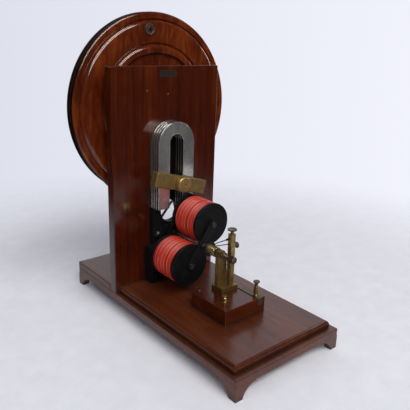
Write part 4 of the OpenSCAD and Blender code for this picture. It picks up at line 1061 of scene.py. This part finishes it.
def make_floor():
    """A pale paper floor that fades into the background a few steps from the machine."""
    size = 4.0
    corners = [(-size, -size, 0), (size, -size, 0), (size, size, 0), (-size, size, 0)]
    mesh = bpy.data.meshes.new("floor")
    mesh.from_pydata(corners, [], [(0, 1, 2, 3)])
    shader = Shader(bpy.data.materials.new("pale_floor"))
    mottle = shader.noise(shader.position, 26.0, 5.0, 0.65)
    paper = shader.ramp(mottle, [(0.3, (0.790, 0.788, 0.824)), (0.7, (0.855, 0.852, 0.882))])
    shader.surface(Base_Color=paper, Roughness=0.9, Specular_IOR_Level=0.0)
    fade = shader.between(shader.distance(), *FLOOR_FADE, "SMOOTHSTEP")
    clear = shader.add("ShaderNodeBsdfTransparent")
    both = shader.add("ShaderNodeMixShader")
    shader.put(both.inputs[0], fade)
    shader.put(both.inputs[1], shader.main.outputs[0])
    shader.put(both.inputs[2], clear.outputs[0])
    shader.put(shader.tree.nodes["Material Output"].inputs["Surface"], both.outputs[0])
    mesh.materials.append(shader.owner)
    floor = bpy.data.objects.new("floor", mesh)
    bpy.context.scene.collection.objects.link(floor)


def make_dark_cloth():
    """A dark room round the paper floor, open at the back on the right, with a pale card on its floor.

    It only shows in the polish.
    """
    rows = [(reach, CLOTH_LIFT) for reach in CLOTH_RINGS]
    rows += arc((0.0, 0.0), DOME_R, 0, 90, 9)
    columns = 72
    points = []
    for reach, height in rows:
        for column in range(columns):
            angle = 2 * math.pi * column / columns
            points.append((reach * math.cos(angle), reach * math.sin(angle), height))
    faces = []
    for row in range(len(rows) - 1):
        for column in range(columns):
            if row < OPEN_ROWS and column in OPEN_COLUMNS:
                continue
            after = (column + 1) % columns
            near = row * columns
            far = near + columns
            faces.append((near + column, near + after, far + after, far + column))
    mesh = bpy.data.meshes.new("dark_cloth")
    mesh.from_pydata(points, [], faces)
    shader = Shader(bpy.data.materials.new("dark_cloth"))
    weave = shader.noise(shader.position, 40.0, 3.0, 0.5)
    away = shader.distance()
    fade = shader.between(away, *CLOTH_FADE, "SMOOTHSTEP")
    dark = shader.ramp(weave, [(0.2, (0.012, 0.012, 0.013)), (0.8, (0.022, 0.022, 0.024))])
    pale = colour(0.80, 0.80, 0.84)
    x, y, _ = shader.axes()
    slant = shader.math("DIVIDE", x, shader.math("MULTIPLY", y, -1.0))
    sector = shader.near(slant, *CARD_SLANT)
    ahead = shader.math("LESS_THAN", y, 0.0)
    ring = shader.near(away, *CARD_DISTANCE)
    card = shader.math("MULTIPLY", shader.math("MULTIPLY", sector, ahead), ring)
    cloth_tone = shader.mix(fade, pale, dark)
    shader.surface(Base_Color=shader.mix(card, cloth_tone, pale), Roughness=0.95, Specular_IOR_Level=0.0)
    mesh.materials.append(shader.owner)
    cloth = bpy.data.objects.new("dark_cloth", mesh)
    bpy.context.scene.collection.objects.link(cloth)
    cloth.visible_camera = False
    cloth.visible_diffuse = False
    cloth.visible_shadow = False
    cloth.visible_transmission = False


def make_world():
    """A pale room, brighter to the right: its full colour where seen or mirrored, and less as light."""
    world = bpy.data.worlds.new("pale_room")
    bpy.context.scene.world = world
    shader = Shader(world, "Background", "Generated")
    rays = shader.add("ShaderNodeLightPath").outputs
    mirrored = shader.math("MAXIMUM", rays["Is Glossy Ray"], rays["Is Transmission Ray"])
    seen = shader.math("MAXIMUM", rays["Is Camera Ray"], mirrored)
    across = shader.between(shader.dot(shader.position, ROOM_RIGHT), *ROOM_FADE)
    tone = shader.ramp(across, list(zip((0.0, 1.0), ROOM_TONES)))
    shader.surface(Color=tone, Strength=shader.span(seen, ROOM_LIGHT, 1.0))


def add_lamp(name, towards, distance, long_axis, size, watts):
    """A soft box that faces the machine, with its long side along an axis."""
    data = bpy.data.lights.new(name, "AREA")
    data.shape = "RECTANGLE"
    data.size, data.size_y = size
    data.energy = watts
    lamp = bpy.data.objects.new(name, data)
    back = Vector(towards).normalized()
    side = Vector(long_axis)
    side = (side - side.dot(back) * back).normalized()
    up = back.cross(side)
    turn = Matrix((side, up, back)).transposed().to_4x4()
    lamp.matrix_world = Matrix.Translation(back * distance + Vector((0, 0, LAMP_AIM))) @ turn
    bpy.context.scene.collection.objects.link(lamp)
    return lamp


make_floor()
make_dark_cloth()
make_world()

# The key lights matt surfaces and the key shine shows in the polish; both stand in one place
key_way = (-0.137, -0.655, 0.743)
key_axis = (0.888, 0.234, 0.372)
add_lamp("key", key_way, 3.4, key_axis, (3.0, 1.0), 86.0).visible_glossy = False
add_lamp("key_shine", key_way, 3.4, key_axis, (3.1, 2.2), 330.0).visible_diffuse = False
add_lamp("side_shine", (0.96, 0.12, 0.27), 3.0, (0.0, 0.0, 1.0), (0.7, 0.6), 10.0).visible_diffuse = False
add_lamp("back_fill", (0.35, 0.80, 0.48), 3.4, (1.0, 0.0, 0.0), (2.4, 1.2), 16.0).visible_glossy = False

bpy.context.scene.view_settings.view_transform = "Standard"
